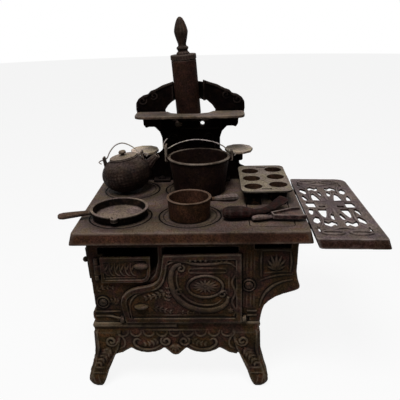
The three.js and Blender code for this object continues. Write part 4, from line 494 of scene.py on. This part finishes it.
base_iron = iron("base_iron", paint=tint(46, 37, 28), dust_and_top_light=tint(66, 56, 46), rust=tint(78, 49, 34),
                 bare_and_highlight=tint(112, 101, 86), soot_and_shade=tint(6, 5, 4), rust_share=0.45, stain_share=0.85,
                 wear_and_highlight_share=0.6, soot_and_shade_share=1, gloss=0.03)
base = Casting("leg_base")
base_across, base_deep, half_width, half_depth, apron_shift = -16.1, 80, 77.1, 72, -1.6
scallop_pitch, leg_width = 12.2, 22
base_sides = [
    ((0, 1, 0), lambda a, b: spot(base_across + a, base_deep - half_depth, b), half_width, apron_shift),
    ((0, -1, 0), lambda a, b: spot(base_across + a, base_deep + half_depth, b), half_width, apron_shift),
    ((1, 0, 0), lambda a, b: spot(base_across - half_width, base_deep + a, b), half_depth, 0),
    ((-1, 0, 0), lambda a, b: spot(base_across + half_width, base_deep + a, b), half_depth, 0)]
for heading, place, half, shift in base_sides:
    base.face(heading, place)
    for high, width, height in ((66.6, 4.4, 1.3), (61.4, 1.6, 0.8)):
        base.line([(-half, high), (0, high), (half, high)], width, height, ends=1)
    for number in range(-4, 5):
        middle = shift + number * scallop_pitch
        if abs(middle) < half - leg_width:
            base.line([(middle - 5.2, 61), (middle - 4, 56.6), (middle, 54.6), (middle + 4, 56.6),
                       (middle + 5.2, 61)], 1.8, 0.9)
    for hand in (-1, 1):
        base.curl(shift + hand * 8.6, 49, 5.4, 90, 1.5, -hand, 2, 1.2)
        base.line([(shift + hand * a, b) for a, b in (
            (12.5, 45.5), (19, 41), (27, 39.6), (35, 42), (39, 47.5), (36.5, 51.5), (32.6, 49.8))], 2.2, 1.2)
        base.frond([(shift + hand * a, b) for a, b in ((15.5, 50.5), (22, 46.8), (30, 45.4))],
                   4, 5.4, 2.4, 0.9)
        base.curl(hand * (half - 15.3), 49.5, 5.6, 180 if hand > 0 else 0, 1.5, hand, 2.2, 1.2)
        base.line([(hand * (half - a), b) for a, b in ((23.5, 57), (27.5, 50), (27, 43.5), (22.6, 40.4))],
                  1.9, 1)
        base.frond([(hand * (half - a), b) for a, b in ((13.5, 42.6), (10.4, 37.5), (6, 31), (2, 25))],
                   5, 8.4, 3.2, 1.1, lean=40)
        base.line([(hand * (half - a), b) for a, b in (
            (2.2, 59), (2.2, 50), (2.4, 42), (0.8, 35), (-1.8, 29))], 2, 1.1)
        base.line([(hand * (half - a), b) for a, b in ((19.4, 38.4), (15.6, 32), (11.4, 25), (8.6, 20.5))],
                  1.8, 1)
        for high, width in ((21.6, 2.6), (16.4, 1.6)):
            base.line([(hand * (half - a), high) for a in (8.4, 4, 0, -4, -7.6)], width, 1)
        for toe in (-3.4, 1.4):
            base.line([(hand * (half - toe + 1), 13.5), (hand * (half - toe), 8),
                       (hand * (half - toe - 1), 3.4)], 1.8, 0.8)
    for across, high in ((-6.4, 40.6), (-3.6, 37.2), (0, 34.6), (3.6, 37.2), (6.4, 40.6)):
        base.leaf((shift, 45.5), (shift + across, high), 3, 1.1)
base.cast("leg_casting", base_iron, 0.75, rounds=2, keep=0.4)


# Body: four cast walls on the base, drawn together by two long screws, with the swept reservoir wing.
# The front has ribbed posts, plinth mouldings and leaf ornament. The others have a frame and a rosette.
body_iron = iron("body_iron", paint=tint(43, 34, 27), dust_and_top_light=tint(66, 56, 46), rust=tint(76, 49, 37),
                 bare_and_highlight=tint(106, 96, 84), soot_and_shade=tint(6, 5, 4), rust_share=0.45, stain_share=0.85,
                 wear_and_highlight_share=0.55, soot_and_shade_share=1, gloss=0.03)
front = Casting("front_panel")
front.face((0, 1, 0), lambda a, b: spot(a, 9, b))
for high in (81.2, 76.4):
    for left, right in ((-90.5, -67), (49.5, 58.5)):
        front.line([(left, high), ((left + right) / 2, high), (right, high)], 2, 1, ends=1)
for across in (46.4, 49.3, 52.9, 55.8):
    front.line([(across, 85), (across, 94), (across, 102)], 1.5, 0.6)
    front.line([(across, 114), (across, 127), (across, 141)], 1.5, 0.6)
for across, high in ((51.1, 108), (-82.3, 91.2)):
    front.ring(across, high, 5.4, 1.6, 0.9)
front.frond([(-67, 90), (-71, 92), (-75.5, 92.5)], 3, 5.5, 2.8, 1)
front.frond([(-89, 103), (-80, 107), (-70, 106)], 4, 5, 2.4, 0.8)
front.line([(62, 116.5), (61.6, 128), (61.8, 141)], 2.6, 1.6)
front.line([(62, 142.2), (75, 142.8), (88, 141.6)], 1.8, 1.1)
front.line([(60.5, 112.5), (69, 115.8), (79, 118), (90, 118.6)], 2.4, 1.2)
front.line([(61.2, 86), (63.6, 95.5), (69.5, 104.2), (79, 110.6), (90, 113.4)], 3, 1.4)
front.line([(87.6, 121), (88.4, 131), (87.4, 141)], 2.4, 1.5)
front.line([(64.5, 120), (75, 121.2), (85.5, 121.6)], 1.8, 1)
for out, high in ((0, 139.5), (-4.8, 138), (4.8, 138), (-8.4, 133.5), (8.4, 133.5), (-8.2, 127), (8.2, 127)):
    front.leaf((75, 123.5), (75 + out, high), 3.2, 1.5)
front.line([(71, 124.6), (75, 123.4), (79, 124.6)], 2.4, 1.5)
front.cast("front_wall", body_iron, 0.55, rounds=2, keep=0.45)
walls = {
    "back_panel": ((0, -1, 0), lambda a, b: spot(a, 151, b), (-70, 92, 40, 138)),
    "left_panel": ((1, 0, 0), lambda a, b: spot(-96, a, b), (84, 92, 140, 146)),
    "right_panel": ((-1, 0, 0), lambda a, b: spot(96, a, b), (26, 124, 134, 148))}
for node, (heading, place, (left, bottom, right, top)) in walls.items():
    wall = Casting(node)
    wall.face(heading, place)
    wall.moulding(left, bottom, right, top, 7, 2.6, 1)
    wall.moulding(left + 5, bottom + 5, right - 5, top - 5, 5, 1.5, 0.7)
    wall.rosette((left + right) / 2, (bottom + top) / 2, (top - bottom) * 0.24, 8, 3.6, 1)
    wall.cast(node.replace("panel", "wall"), body_iron, 0.8, rounds=2, keep=0.4)


# Inside: the plate that parts the firebox from the oven, and the slotted grate, both plain castings.
# They are black from the fire, with rust where the soot has flaked.
def rounded(name, node, finish, edge=0.4, angle=32):
    """A plain piece: the node's own shape with its edges rounded."""
    shape = bmesh.new()
    shape.from_mesh(frame["nodes"][node].data)
    bmesh.ops.remove_doubles(shape, verts=shape.verts, dist=same_place)
    flat_angle = math.radians(0.5)
    bmesh.ops.dissolve_limit(shape, angle_limit=flat_angle, verts=shape.verts, edges=shape.edges)
    bmesh.ops.recalc_face_normals(shape, faces=shape.faces)
    for face in shape.faces:
        face.smooth = True
    piece = bpy.data.objects.new(name, bpy.data.meshes.new(name))
    shape.to_mesh(piece.data)
    shape.free()
    bpy.context.scene.collection.objects.link(piece)
    rounding = piece.modifiers.new("rounding", "BEVEL")
    rounding.width = edge * mm
    rounding.segments = 3
    rounding.limit_method = "ANGLE"
    rounding.angle_limit = math.radians(angle)
    rounding.harden_normals = True
    dress(piece, finish, node)
    return piece


fire_iron = iron("fire_iron", paint=tint(34, 28, 25), dust_and_top_light=tint(60, 52, 46), rust=tint(76, 46, 33),
                 bare_and_highlight=tint(92, 84, 76), soot_and_shade=tint(8, 7, 6), gloss=0.03)
rounded("firebox_wall", "firebox_partition", fire_iron)
rounded("firebox_grate", "fire_grate", fire_iron)


# Screws, nuts and hinge pins: steel, turned and threaded, with slotted round heads.
# They are greyer and a little brighter than the castings, but those that hold the high back are black.
fastener_steel = iron("fastener_steel", paint=tint(52, 44, 38), dust_and_top_light=tint(58, 51, 45),
                      rust=tint(66, 43, 31), bare_and_highlight=tint(96, 88, 80), soot_and_shade=tint(10, 8, 7),
                      metallic=0.3, bump=0.0002)
black_steel = iron("black_steel", paint=tint(10, 8, 8), dust_and_top_light=tint(20, 17, 16), rust=tint(16, 10, 8),
                   bare_and_highlight=tint(48, 42, 39), soot_and_shade=tint(3, 3, 3), metallic=0.3, gloss=0.012, bump=0.0002)
for node, slot in slot_of.items():
    if slot == "screw_steel":
        name = node.replace("screw", "slotted_head").replace("nut", "hexagon").replace("pin", "pivot")
        rounded(name, node, black_steel if "high_back" in node else fastener_steel, edge=0.2)


# Oven door: a thick cast door with a stepped left edge and a rim, that turns down on two stubs.
# A broad scroll sweeps round an oval with a leaf rosette, between sprays of leaves and small flowers.
def on_door(across, high):
    return spot(across, 4, high)


oven_door = Casting("oven_door")
oven_door.face((0, 1, 0), on_door)
oven_door.line([(-56, 76), (-57.6, 86), (-55.5, 95), (-49.5, 101.2), (-40, 104.5), (-31.5, 108),
                (-26.5, 113.5), (-24, 121), (-22.5, 131)], 2.2, 1.1)
oven_door.line([(-9, 131.5), (-15, 128.6), (-18.4, 121), (-18.6, 112), (-16, 102), (-9.5, 92.4), (1, 86.2),
                (12.5, 84), (23, 85.6), (30.6, 91.4), (32.6, 98)], 5.4, 2.1, ends=0.6)
oven_door.line([(-12.4, 125), (-13.6, 115), (-11.4, 105), (-6, 97), (2.5, 91.4), (12.5, 89.4), (22, 91.2),
                (26.4, 95.4)], 1.7, 1.2)
oven_door.curl(-11.6, 103.2, 3.4, 20, 1.3, 1, 1.8, 1.4)
oven_door.curl(27.4, 101, 4, 0, 1.4, 1, 2, 1.5)
oven_door.curl(-9.4, 127, 3.6, 90, 1.2, -1, 1.9, 1.4)
oven_door.line([(-23, 130.4), (-16, 133.6), (-8, 134.2), (2, 131.4), (18, 131), (34, 131.8), (38.4, 128.4)],
               2.6, 1.3)
oven_door.line([(-3, 127), (10, 127.4), (33, 127)], 1.4, 0.8)
vine_place, vine_sway = 37.4, 1.5
oven_door.line([(vine_place + vine_sway * math.sin(n * 1.25), 78 + n * 3.9) for n in range(13)], 2.2, 1.2)
oven_door.line([(33.4, 104), (33, 112), (33.4, 122)], 1.4, 0.9)
oven_door.line([(-52, 79.4), (-20, 79), (30, 79.4)], 1.8, 0.9)
oven_door.moulding(-2.5, 122.6, 31, 126.4, 1.6, 1.2, 0.7)
oven_door.rosette(11.8, 108.7, 12.5, 14, 3, 1.2, squeeze=0.62)
oven_door.rosette(34.4, 83.6, 3.4, 6, 2.2, 1)
oven_door.frond([(-36, 86.5), (-28, 85), (-18, 82)], 4, 5, 2.6, 1)
oven_door.frond([(-24, 104.5), (-33, 99.5), (-44, 96.5)], 5, 6.4, 3.2, 1.2)
oven_door.frond([(-12, 82.4), (-2, 81.4), (9, 81.2)], 4, 3.4, 1.9, 0.8)
oven_door.frond([(-24, 93), (-21.5, 100), (-22, 110)], 4, 4.4, 2.4, 1)
for number in range(8):
    across = -1 + number * 4.6
    oven_door.leaf((across, 132.4), (across, 136.8), 2.8, 0.9)
oven_door.cast("oven_front", body_iron, 0.45, rounds=2, keep=0.5)


# Fire door: a small cast door with a rounded right edge and a finger tab, on a pin at its left.
# Between two fine lines it has a row of curved leaves.
fire_door = Casting("fire_door")
fire_door.face((0, 1, 0), on_door)
for high in (118, 134):
    fire_door.line([(-78.5, high), (-66, high), (-51, high)], 1.4, 0.9)
leaf_pitch = 4.7
for number in range(6):
    left = -77.4 + number * leaf_pitch
    fire_door.line([(left, 132.8), (left - 0.2, 126.6), (left + 1.8, 121.2), (left + 4, 120.2)], 1.8, 1.1)
    fire_door.leaf((left + 0.6, 125.4), (left + 3.4, 131.6), 2.2, 1)
fire_door.cast("fire_front", body_iron, 0.42, rounds=2, keep=0.6)


# Side door: a plain cast door on a pin in the left wall, with a turned knob and a raised frame.
# A low bead inside its back edge closes the joint with the wall.
side_door = Casting("side_door")
side_door.face((1, 0, 0), lambda a, b: spot(-98, a, b))
side_door.moulding(28, 114.5, 67, 137.5, 4, 1.7, 0.8)
knob_place = 47.5
for hand in (-1, 1):
    side_door.frond([(knob_place + hand * 5, 126), (knob_place + hand * 10, 127.5),
                     (knob_place + hand * 16, 126)], 4, 5.5, 2.6, 0.9)
side_door.face((-1, 0, 0), lambda a, b: spot(-98, a, b))
side_door.line([(69.8, 110.5), (69.8, 125), (69.8, 139.5)], 2, 0.8, ends=1)
side_door.cast("side_front", body_iron, 0.4, rounds=2, keep=0.5)


# Cooking plate: one cast plate with a flared skirt, four round lids in rebated holes and a tank lid.
# Its top is grey-brown, partly dust and wear and partly painted light from above, with soot in the lids'
# joints and soot and a painted shadow round each lid, and rust shows through the dark skirt.
plate_iron = iron("plate_iron", paint=tint(47, 31, 23), dust_and_top_light=tint(83, 73, 66), rust=tint(64, 40, 27),
                  bare_and_highlight=tint(104, 92, 82), soot_and_shade=tint(7, 5, 5), rust_share=0.45,
                  stain_share=0.45, wear_and_highlight_share=0.5, soot_and_shade_share=1, gloss=0.03)


def soot_and_shadow_ring(place, middle, radius):
    """Soot lies in a lid's joint and in a fine groove inside it, and thins out away from them; the broader
    part round the joint is also a painted shadow of what stands on the lid.
    """
    beyond = ((place - middle).xy.length - radius) * 1000
    in_joint = 1.3 - abs(beyond) / 1.4
    in_groove = 1.1 - abs(beyond + 4) / 0.9
    # The broad fall-off round the joint is partly soot and partly a painted shadow of pots on the lid.
    around = 0.5 - abs(beyond) / 20
    return max(0, in_joint, in_groove, around)


plate = Casting("top_plate").cast("cooking_plate", plate_iron, 0.8, rounds=2, keep=0.35)
for node in ("lid_front_left", "lid_back_left", "lid_front_middle", "lid_back_middle"):
    lid_low, lid_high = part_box(node)
    lid_middle = (lid_low + lid_high) / 2
    lid_radius = (lid_high.x - lid_low.x) / 2
    lid = Casting(node)
    lid.face((0, 0, -1), lambda a, b: lid_middle + Vector((a, b, 0)) * mm)
    lid.ring(0, 0, 25.4, 1.3, 0.3)
    round_lid = lid.cast(node.replace("lid", "round_lid"), plate_iron, 0.45, rounds=3)
    for piece in (round_lid, plate):
        mark(piece, "hollow", lambda place: soot_and_shadow_ring(place, lid_middle, lid_radius))
rounded("tank_lid", "reservoir_lid", plate_iron)


# Side shelf: a cast lattice of crossed leaf ribs with a flared skirt, hooked on the plate's right end.
# It is a paler grey-brown than the plate, worn on its ribs, which also carry a painted highlight, and
# darkened with painted shade where the ribs stand close.
lattice_iron = iron("lattice_iron", paint=tint(40, 26, 20), dust_and_top_light=tint(94, 84, 82), rust=tint(80, 62, 56),
                    bare_and_highlight=tint(136, 125, 120), soot_and_shade=tint(14, 11, 10), rust_share=0.35, wear_and_highlight_share=0.8,
                    soot_and_shade_share=1, gloss=0.03)
shelf = Casting("side_shelf")
shelf_across, shelf_deep = 133.4, 70.1
shelf.face((0, 0, -1), lambda a, b: spot(shelf_across + a, shelf_deep + b, 161))
lens = [math.tau * number / 10 for number in range(10)]
for end in (-1, 1):
    shelf.line([(-25, end * 57.5), (-13, end * 61.5), (0, end * 56.5), (13, end * 61.5), (27, end * 57.5)],
               2.6, 1.3)
    shelf.line([(0, end * 10), (0, end * 20), (0, end * 32)], 4.4, 1.3)
    for hand in (-1, 1):
        shelf.line([(hand * 12 + 9 * math.cos(a), end * 67.5 + 3.6 * math.sin(a)) for a in lens], 2, 1.3,
                   closed=True)
        shelf.line([(hand * 2, end * 8.6), (hand * 14, end * 9.6), (hand * 27, end * 9)], 2, 1.2)
        shelf.line([(hand * 15.8, end * 10), (hand * 16.4, end * 20), (hand * 15, end * 32),
                    (hand * 16, end * 46), (hand * 20, end * 56)], 2, 1.2)
        shelf.line([(hand * a, end * b) for a, b in ((3, 20), (6.4, 27), (8, 36), (14, 37.5))], 1.8, 1.2)
shelf.cast("lattice_shelf", lattice_iron, 0.45, rounds=2, keep=0.45)


# High back: a flat casting with an arched top and scrolled ends, held to the plate by two screws.
# It is nearly black, blacked by the pipe's smoke, with brown showing on its rolled edge and scrolls, partly
# wear and partly painted highlight.
black_iron = iron("black_iron", paint=tint(8, 5, 5), dust_and_top_light=tint(22, 18, 17), rust=tint(16, 9, 7),
                  bare_and_highlight=tint(56, 47, 43), soot_and_shade=tint(3, 2, 2), wear_and_highlight_share=0.5, gloss=0.006)
back = Casting("high_back")
back_middle, above_back, edge_inset = -3.9, 277, 1.8
for hand in (-1, 1):
    back.face((0, 0, -1), lambda a, b: spot(back_middle + a, 148, b))
    edge = [(hand * across, back.under(hand * across, above_back)[0].z * 1000 - edge_inset)
            for across in range(18, 58, 4)]
    back.face((0, 1, 0), lambda a, b: spot(back_middle + a, 145, b))
    back.line(edge, 2.2, 1.1, ends=0.8)
    back.curl(hand * 50.5, 252.5, 4.8, 40 if hand < 0 else 140, 1.3, hand, 1.8, 1.1)
    back.curl(hand * 38, 257.5, 4.2, 220 if hand < 0 else -40, 1.2, -hand, 1.7, 1)
    back.line([(hand * 29, 190), (hand * 25.5, 202), (hand * 29.5, 214), (hand * 38, 219)], 2, 1)
    back.curl(hand * 20, 212, 5, 180 if hand > 0 else 0, 1.4, -hand, 1.7, 1)
    back.frond([(hand * 10, 186), (hand * 13, 197), (hand * 11, 208)], 4, 6, 3, 1)
back.cast("arched_back", black_iron, 0.65, rounds=2, keep=0.45)


# Warming shelf and teapot shelves: thin castings on the high back, with tops painted pale, partly dust and
# partly light from above. A screw through its flange, painted black as the shade under the shelf, holds the
# warming shelf. The small teapot shelves, on stems, are the stove's brightest iron.
warm_iron = iron("warm_iron", paint=tint(54, 43, 37), dust_and_top_light=tint(96, 88, 81), rust=tint(106, 82, 64),
                 bare_and_highlight=tint(132, 120, 108), soot_and_shade=tint(14, 10, 9), rust_share=0.4, wear_and_highlight_share=0.5, gloss=0.03)
teapot_iron = iron("teapot_iron", paint=tint(92, 80, 68), dust_and_top_light=tint(178, 166, 150), rust=tint(164, 140, 118),
                   bare_and_highlight=tint(170, 156, 140), soot_and_shade=tint(24, 18, 15), rust_share=0.35, wear_and_highlight_share=0.5)
ledge = Casting("warming_shelf").cast("warming_ledge", warm_iron, 0.55, rounds=3, keep=0.5)
ledge_rim = 0.0045
rim_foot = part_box("warming_shelf")[1].z - ledge_rim
# Everything below the shelf's top rim is painted black: painted shade under the shelf.
refinish(ledge, black_iron, lambda place: place.z < rim_foot)
for end in ("left", "right"):
    Casting("teapot_shelf_" + end).cast("teapot_ledge_" + end, teapot_iron, 0.5, rounds=3, keep=0.5)


# Stovepipe and cap: a cast tube that stands on the high back's spigot and leans a little, closed by a
# stepped cap with a turned finial. Heat has left the pipe red-brown. The cap is greyer.
pipe_iron = iron("pipe_iron", paint=tint(32, 21, 17), dust_and_top_light=tint(60, 47, 41), rust=tint(46, 27, 21),
                 bare_and_highlight=tint(84, 70, 62), soot_and_shade=tint(9, 6, 5), rust_share=0.5, wear_and_highlight_share=0.4, gloss=0.02)
cap_iron = iron("cap_iron", paint=tint(37, 29, 25), dust_and_top_light=tint(58, 51, 46), rust=tint(50, 33, 26),
                bare_and_highlight=tint(98, 87, 78), soot_and_shade=tint(9, 7, 6), wear_and_highlight_share=0.5, gloss=0.03)
Casting("stovepipe").cast("smoke_pipe", pipe_iron, 0.5, rounds=5, keep=0.5)
Casting("pipe_cap").cast("finial_cap", cap_iron, 0.45, rounds=4, keep=0.6)


# Skillet and saucepan: cast with their handles in one piece and ground inside.
# The skillet is black outside, partly its blacking and partly painted shade under its rim, and pale inside,
# partly wear and dust and partly painted light from above, with a brown handle. The saucepan is rust brown,
# and its handle is rubbed grey.
# Black paint on the skillet's walls is partly painted shade; its pale dust colour inside is partly painted
# light.
skillet_iron = iron("skillet_iron", paint=tint(11, 8, 7), dust_and_top_light=tint(104, 92, 85), rust=tint(56, 42, 35),
                    bare_and_highlight=tint(122, 109, 99), soot_and_shade=tint(5, 4, 3), rust_share=0.25, wear_and_highlight_share=0.6, gloss=0.02)
saucepan_iron = iron("saucepan_iron", paint=tint(42, 28, 20), dust_and_top_light=tint(74, 57, 46), rust=tint(62, 40, 28),
                     bare_and_highlight=tint(110, 94, 82), soot_and_shade=tint(8, 6, 5), gloss=0.03)
skillet_grip = iron("skillet_grip", paint=tint(30, 22, 19), dust_and_top_light=tint(70, 56, 48), rust=tint(52, 36, 30),
                    bare_and_highlight=tint(98, 84, 74), soot_and_shade=tint(8, 6, 5), rust_share=0.4, wear_and_highlight_share=0.4, gloss=0.03)
saucepan_grip = iron("saucepan_grip", paint=tint(44, 37, 33), dust_and_top_light=tint(88, 78, 72), rust=tint(66, 50, 42),
                     bare_and_highlight=tint(140, 130, 122), soot_and_shade=tint(8, 6, 5), wear_and_highlight_share=0.8, gloss=0.05)
skillet_width, saucepan_width = 0.0535, 0.0435
skillet_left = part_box("skillet")[1].x - skillet_width
saucepan_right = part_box("saucepan")[0].x + saucepan_width
skillet = Casting("skillet").cast("frying_pan", skillet_iron, 0.4, rounds=7, keep=0.6)
refinish(skillet, skillet_grip, lambda place: place.x < skillet_left)
saucepan = Casting("saucepan").cast("sauce_pan", saucepan_iron, 0.4, rounds=8, keep=0.6)
refinish(saucepan, saucepan_grip, lambda place: place.x > saucepan_right)


# Kettle: a round cast body with a spout and two ears, a domed lid with a knob, and a hooked wire bail.
# Its skin is coarse and speckled, with a top painted pale, partly dust and partly light from above; the lid
# is paler still, and the bail is grey wire.
# The dust colour paints the kettle's and lid's tops pale: partly dust, partly painted light from above.
kettle_iron = iron("kettle_iron", paint=tint(25, 17, 15), dust_and_top_light=tint(66, 57, 52), rust=tint(38, 25, 21),
                   bare_and_highlight=tint(126, 112, 101), soot_and_shade=tint(8, 5, 5), wear_and_highlight_share=0.75, grain_size=520,
                   gloss=0.035, bump=0.002)
lid_iron = iron("lid_iron", paint=tint(62, 53, 46), dust_and_top_light=tint(130, 119, 104), rust=tint(88, 70, 58),
                bare_and_highlight=tint(136, 124, 110), soot_and_shade=tint(10, 8, 7), rust_share=0.4, gloss=0.03)
wire_steel = iron("wire_steel", paint=tint(126, 120, 113), dust_and_top_light=tint(138, 131, 124), rust=tint(98, 80, 68),
                  bare_and_highlight=tint(176, 170, 163), soot_and_shade=tint(26, 22, 20), rust_share=0.3, metallic=0.4,
                  gloss=0.3, bump=0.0001)
Casting("kettle_body").cast("kettle", kettle_iron, 0.45, rounds=9, keep=0.55)
Casting("kettle_lid").cast("kettle_cover", lid_iron, 0.4, rounds=3, keep=0.6)
rounded("kettle_wire", "kettle_bail", wire_steel, edge=0.1, angle=60)


# Stew pot: a deep cast pot with a beaded rim and two ears for its wire bail.
# It is brown-black outside and browner inside.
pot_iron = iron("pot_iron", paint=tint(22, 14, 12), dust_and_top_light=tint(66, 54, 46), rust=tint(34, 22, 17),
                bare_and_highlight=tint(126, 114, 103), soot_and_shade=tint(6, 4, 4), wear_and_highlight_share=0.9, gloss=0.03)
Casting("stew_pot").cast("deep_pot", pot_iron, 0.5, rounds=8, keep=0.55)
rounded("pot_wire", "stew_pot_bail", wire_steel, edge=0.1, angle=60)


# Muffin pan: a pale cast tray with six cups, a rounded rim and a grip slot at each end; its pale top is
# partly dust and partly painted light from above. The cups are seasoned brown, and the rest under the rim is
# painted nearly black as the shade there.
# Its nearly black paint puts painted shade on the rim's sides; its pale dust colour paints light on top.
pan_iron = iron("pan_iron", paint=tint(9, 8, 8), dust_and_top_light=tint(114, 105, 94), rust=tint(48, 38, 31),
                bare_and_highlight=tint(136, 126, 114), soot_and_shade=tint(4, 3, 3), rust_share=0.3, wear_and_highlight_share=0.45,
                soot_and_shade_share=1, gloss=0.02)
cup_iron = iron("cup_iron", paint=tint(36, 25, 19), dust_and_top_light=tint(44, 33, 26), rust=tint(54, 37, 26),
                bare_and_highlight=tint(64, 52, 43), soot_and_shade=tint(9, 6, 5), wear_and_highlight_share=0.3, gloss=0.03)
# Nearly black: painted shade under the rim and between the cups.
under_rim_shade_iron = iron("under_rim_shade_iron", paint=tint(8, 7, 7), dust_and_top_light=tint(18, 15, 14), rust=tint(14, 11, 9),
                  bare_and_highlight=tint(26, 23, 21), soot_and_shade=tint(3, 3, 3), wear_and_highlight_share=0.3, gloss=0.012)
pan_low, pan_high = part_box("muffin_pan")
pan_middle = (pan_low + pan_high) / 2
rim_height, cup_radius, cup_edge = 0.0035, 0.0093, 0.0004
cup_across, cup_pitch, cup_skew = 12.3, 25, 2.3
cups = [pan_middle + Vector((column * cup_across, row * cup_pitch + column * cup_skew, 0)) * mm
        for column in (-1, 1) for row in (-1, 0, 1)]
cup_pan = Casting("muffin_pan").cast("cup_pan", pan_iron, 0.38, rounds=3, keep=0.4)
# Faces under the rim take the painted shade.
refinish(cup_pan, under_rim_shade_iron, lambda place: place.z < pan_high.z - rim_height)
refinish(cup_pan, cup_iron, lambda place: place.z < pan_high.z - cup_edge and any(
    (place - cup).xy.length < cup_radius for cup in cups))


# Lid lifter and coal shovel: small cast tools left on the plate.
# The lifter is red-brown, the shovel grey with a pinkish blade.
tool_iron = iron("tool_iron", paint=tint(20, 12, 11), dust_and_top_light=tint(28, 21, 20), rust=tint(42, 20, 18),
                 bare_and_highlight=tint(86, 77, 72), soot_and_shade=tint(6, 4, 4), rust_share=0.7, wear_and_highlight_share=0.5, gloss=0.03)
shovel_iron = iron("shovel_iron", paint=tint(46, 37, 35), dust_and_top_light=tint(82, 71, 68), rust=tint(104, 76, 73),
                   bare_and_highlight=tint(132, 120, 113), soot_and_shade=tint(10, 8, 7), rust_share=0.45, gloss=0.03)
Casting("lid_lifter").cast("plate_lifter", tool_iron, 0.4, rounds=20, keep=0.6)
Casting("coal_shovel").cast("ash_shovel", shovel_iron, 0.35, rounds=4, keep=0.6)
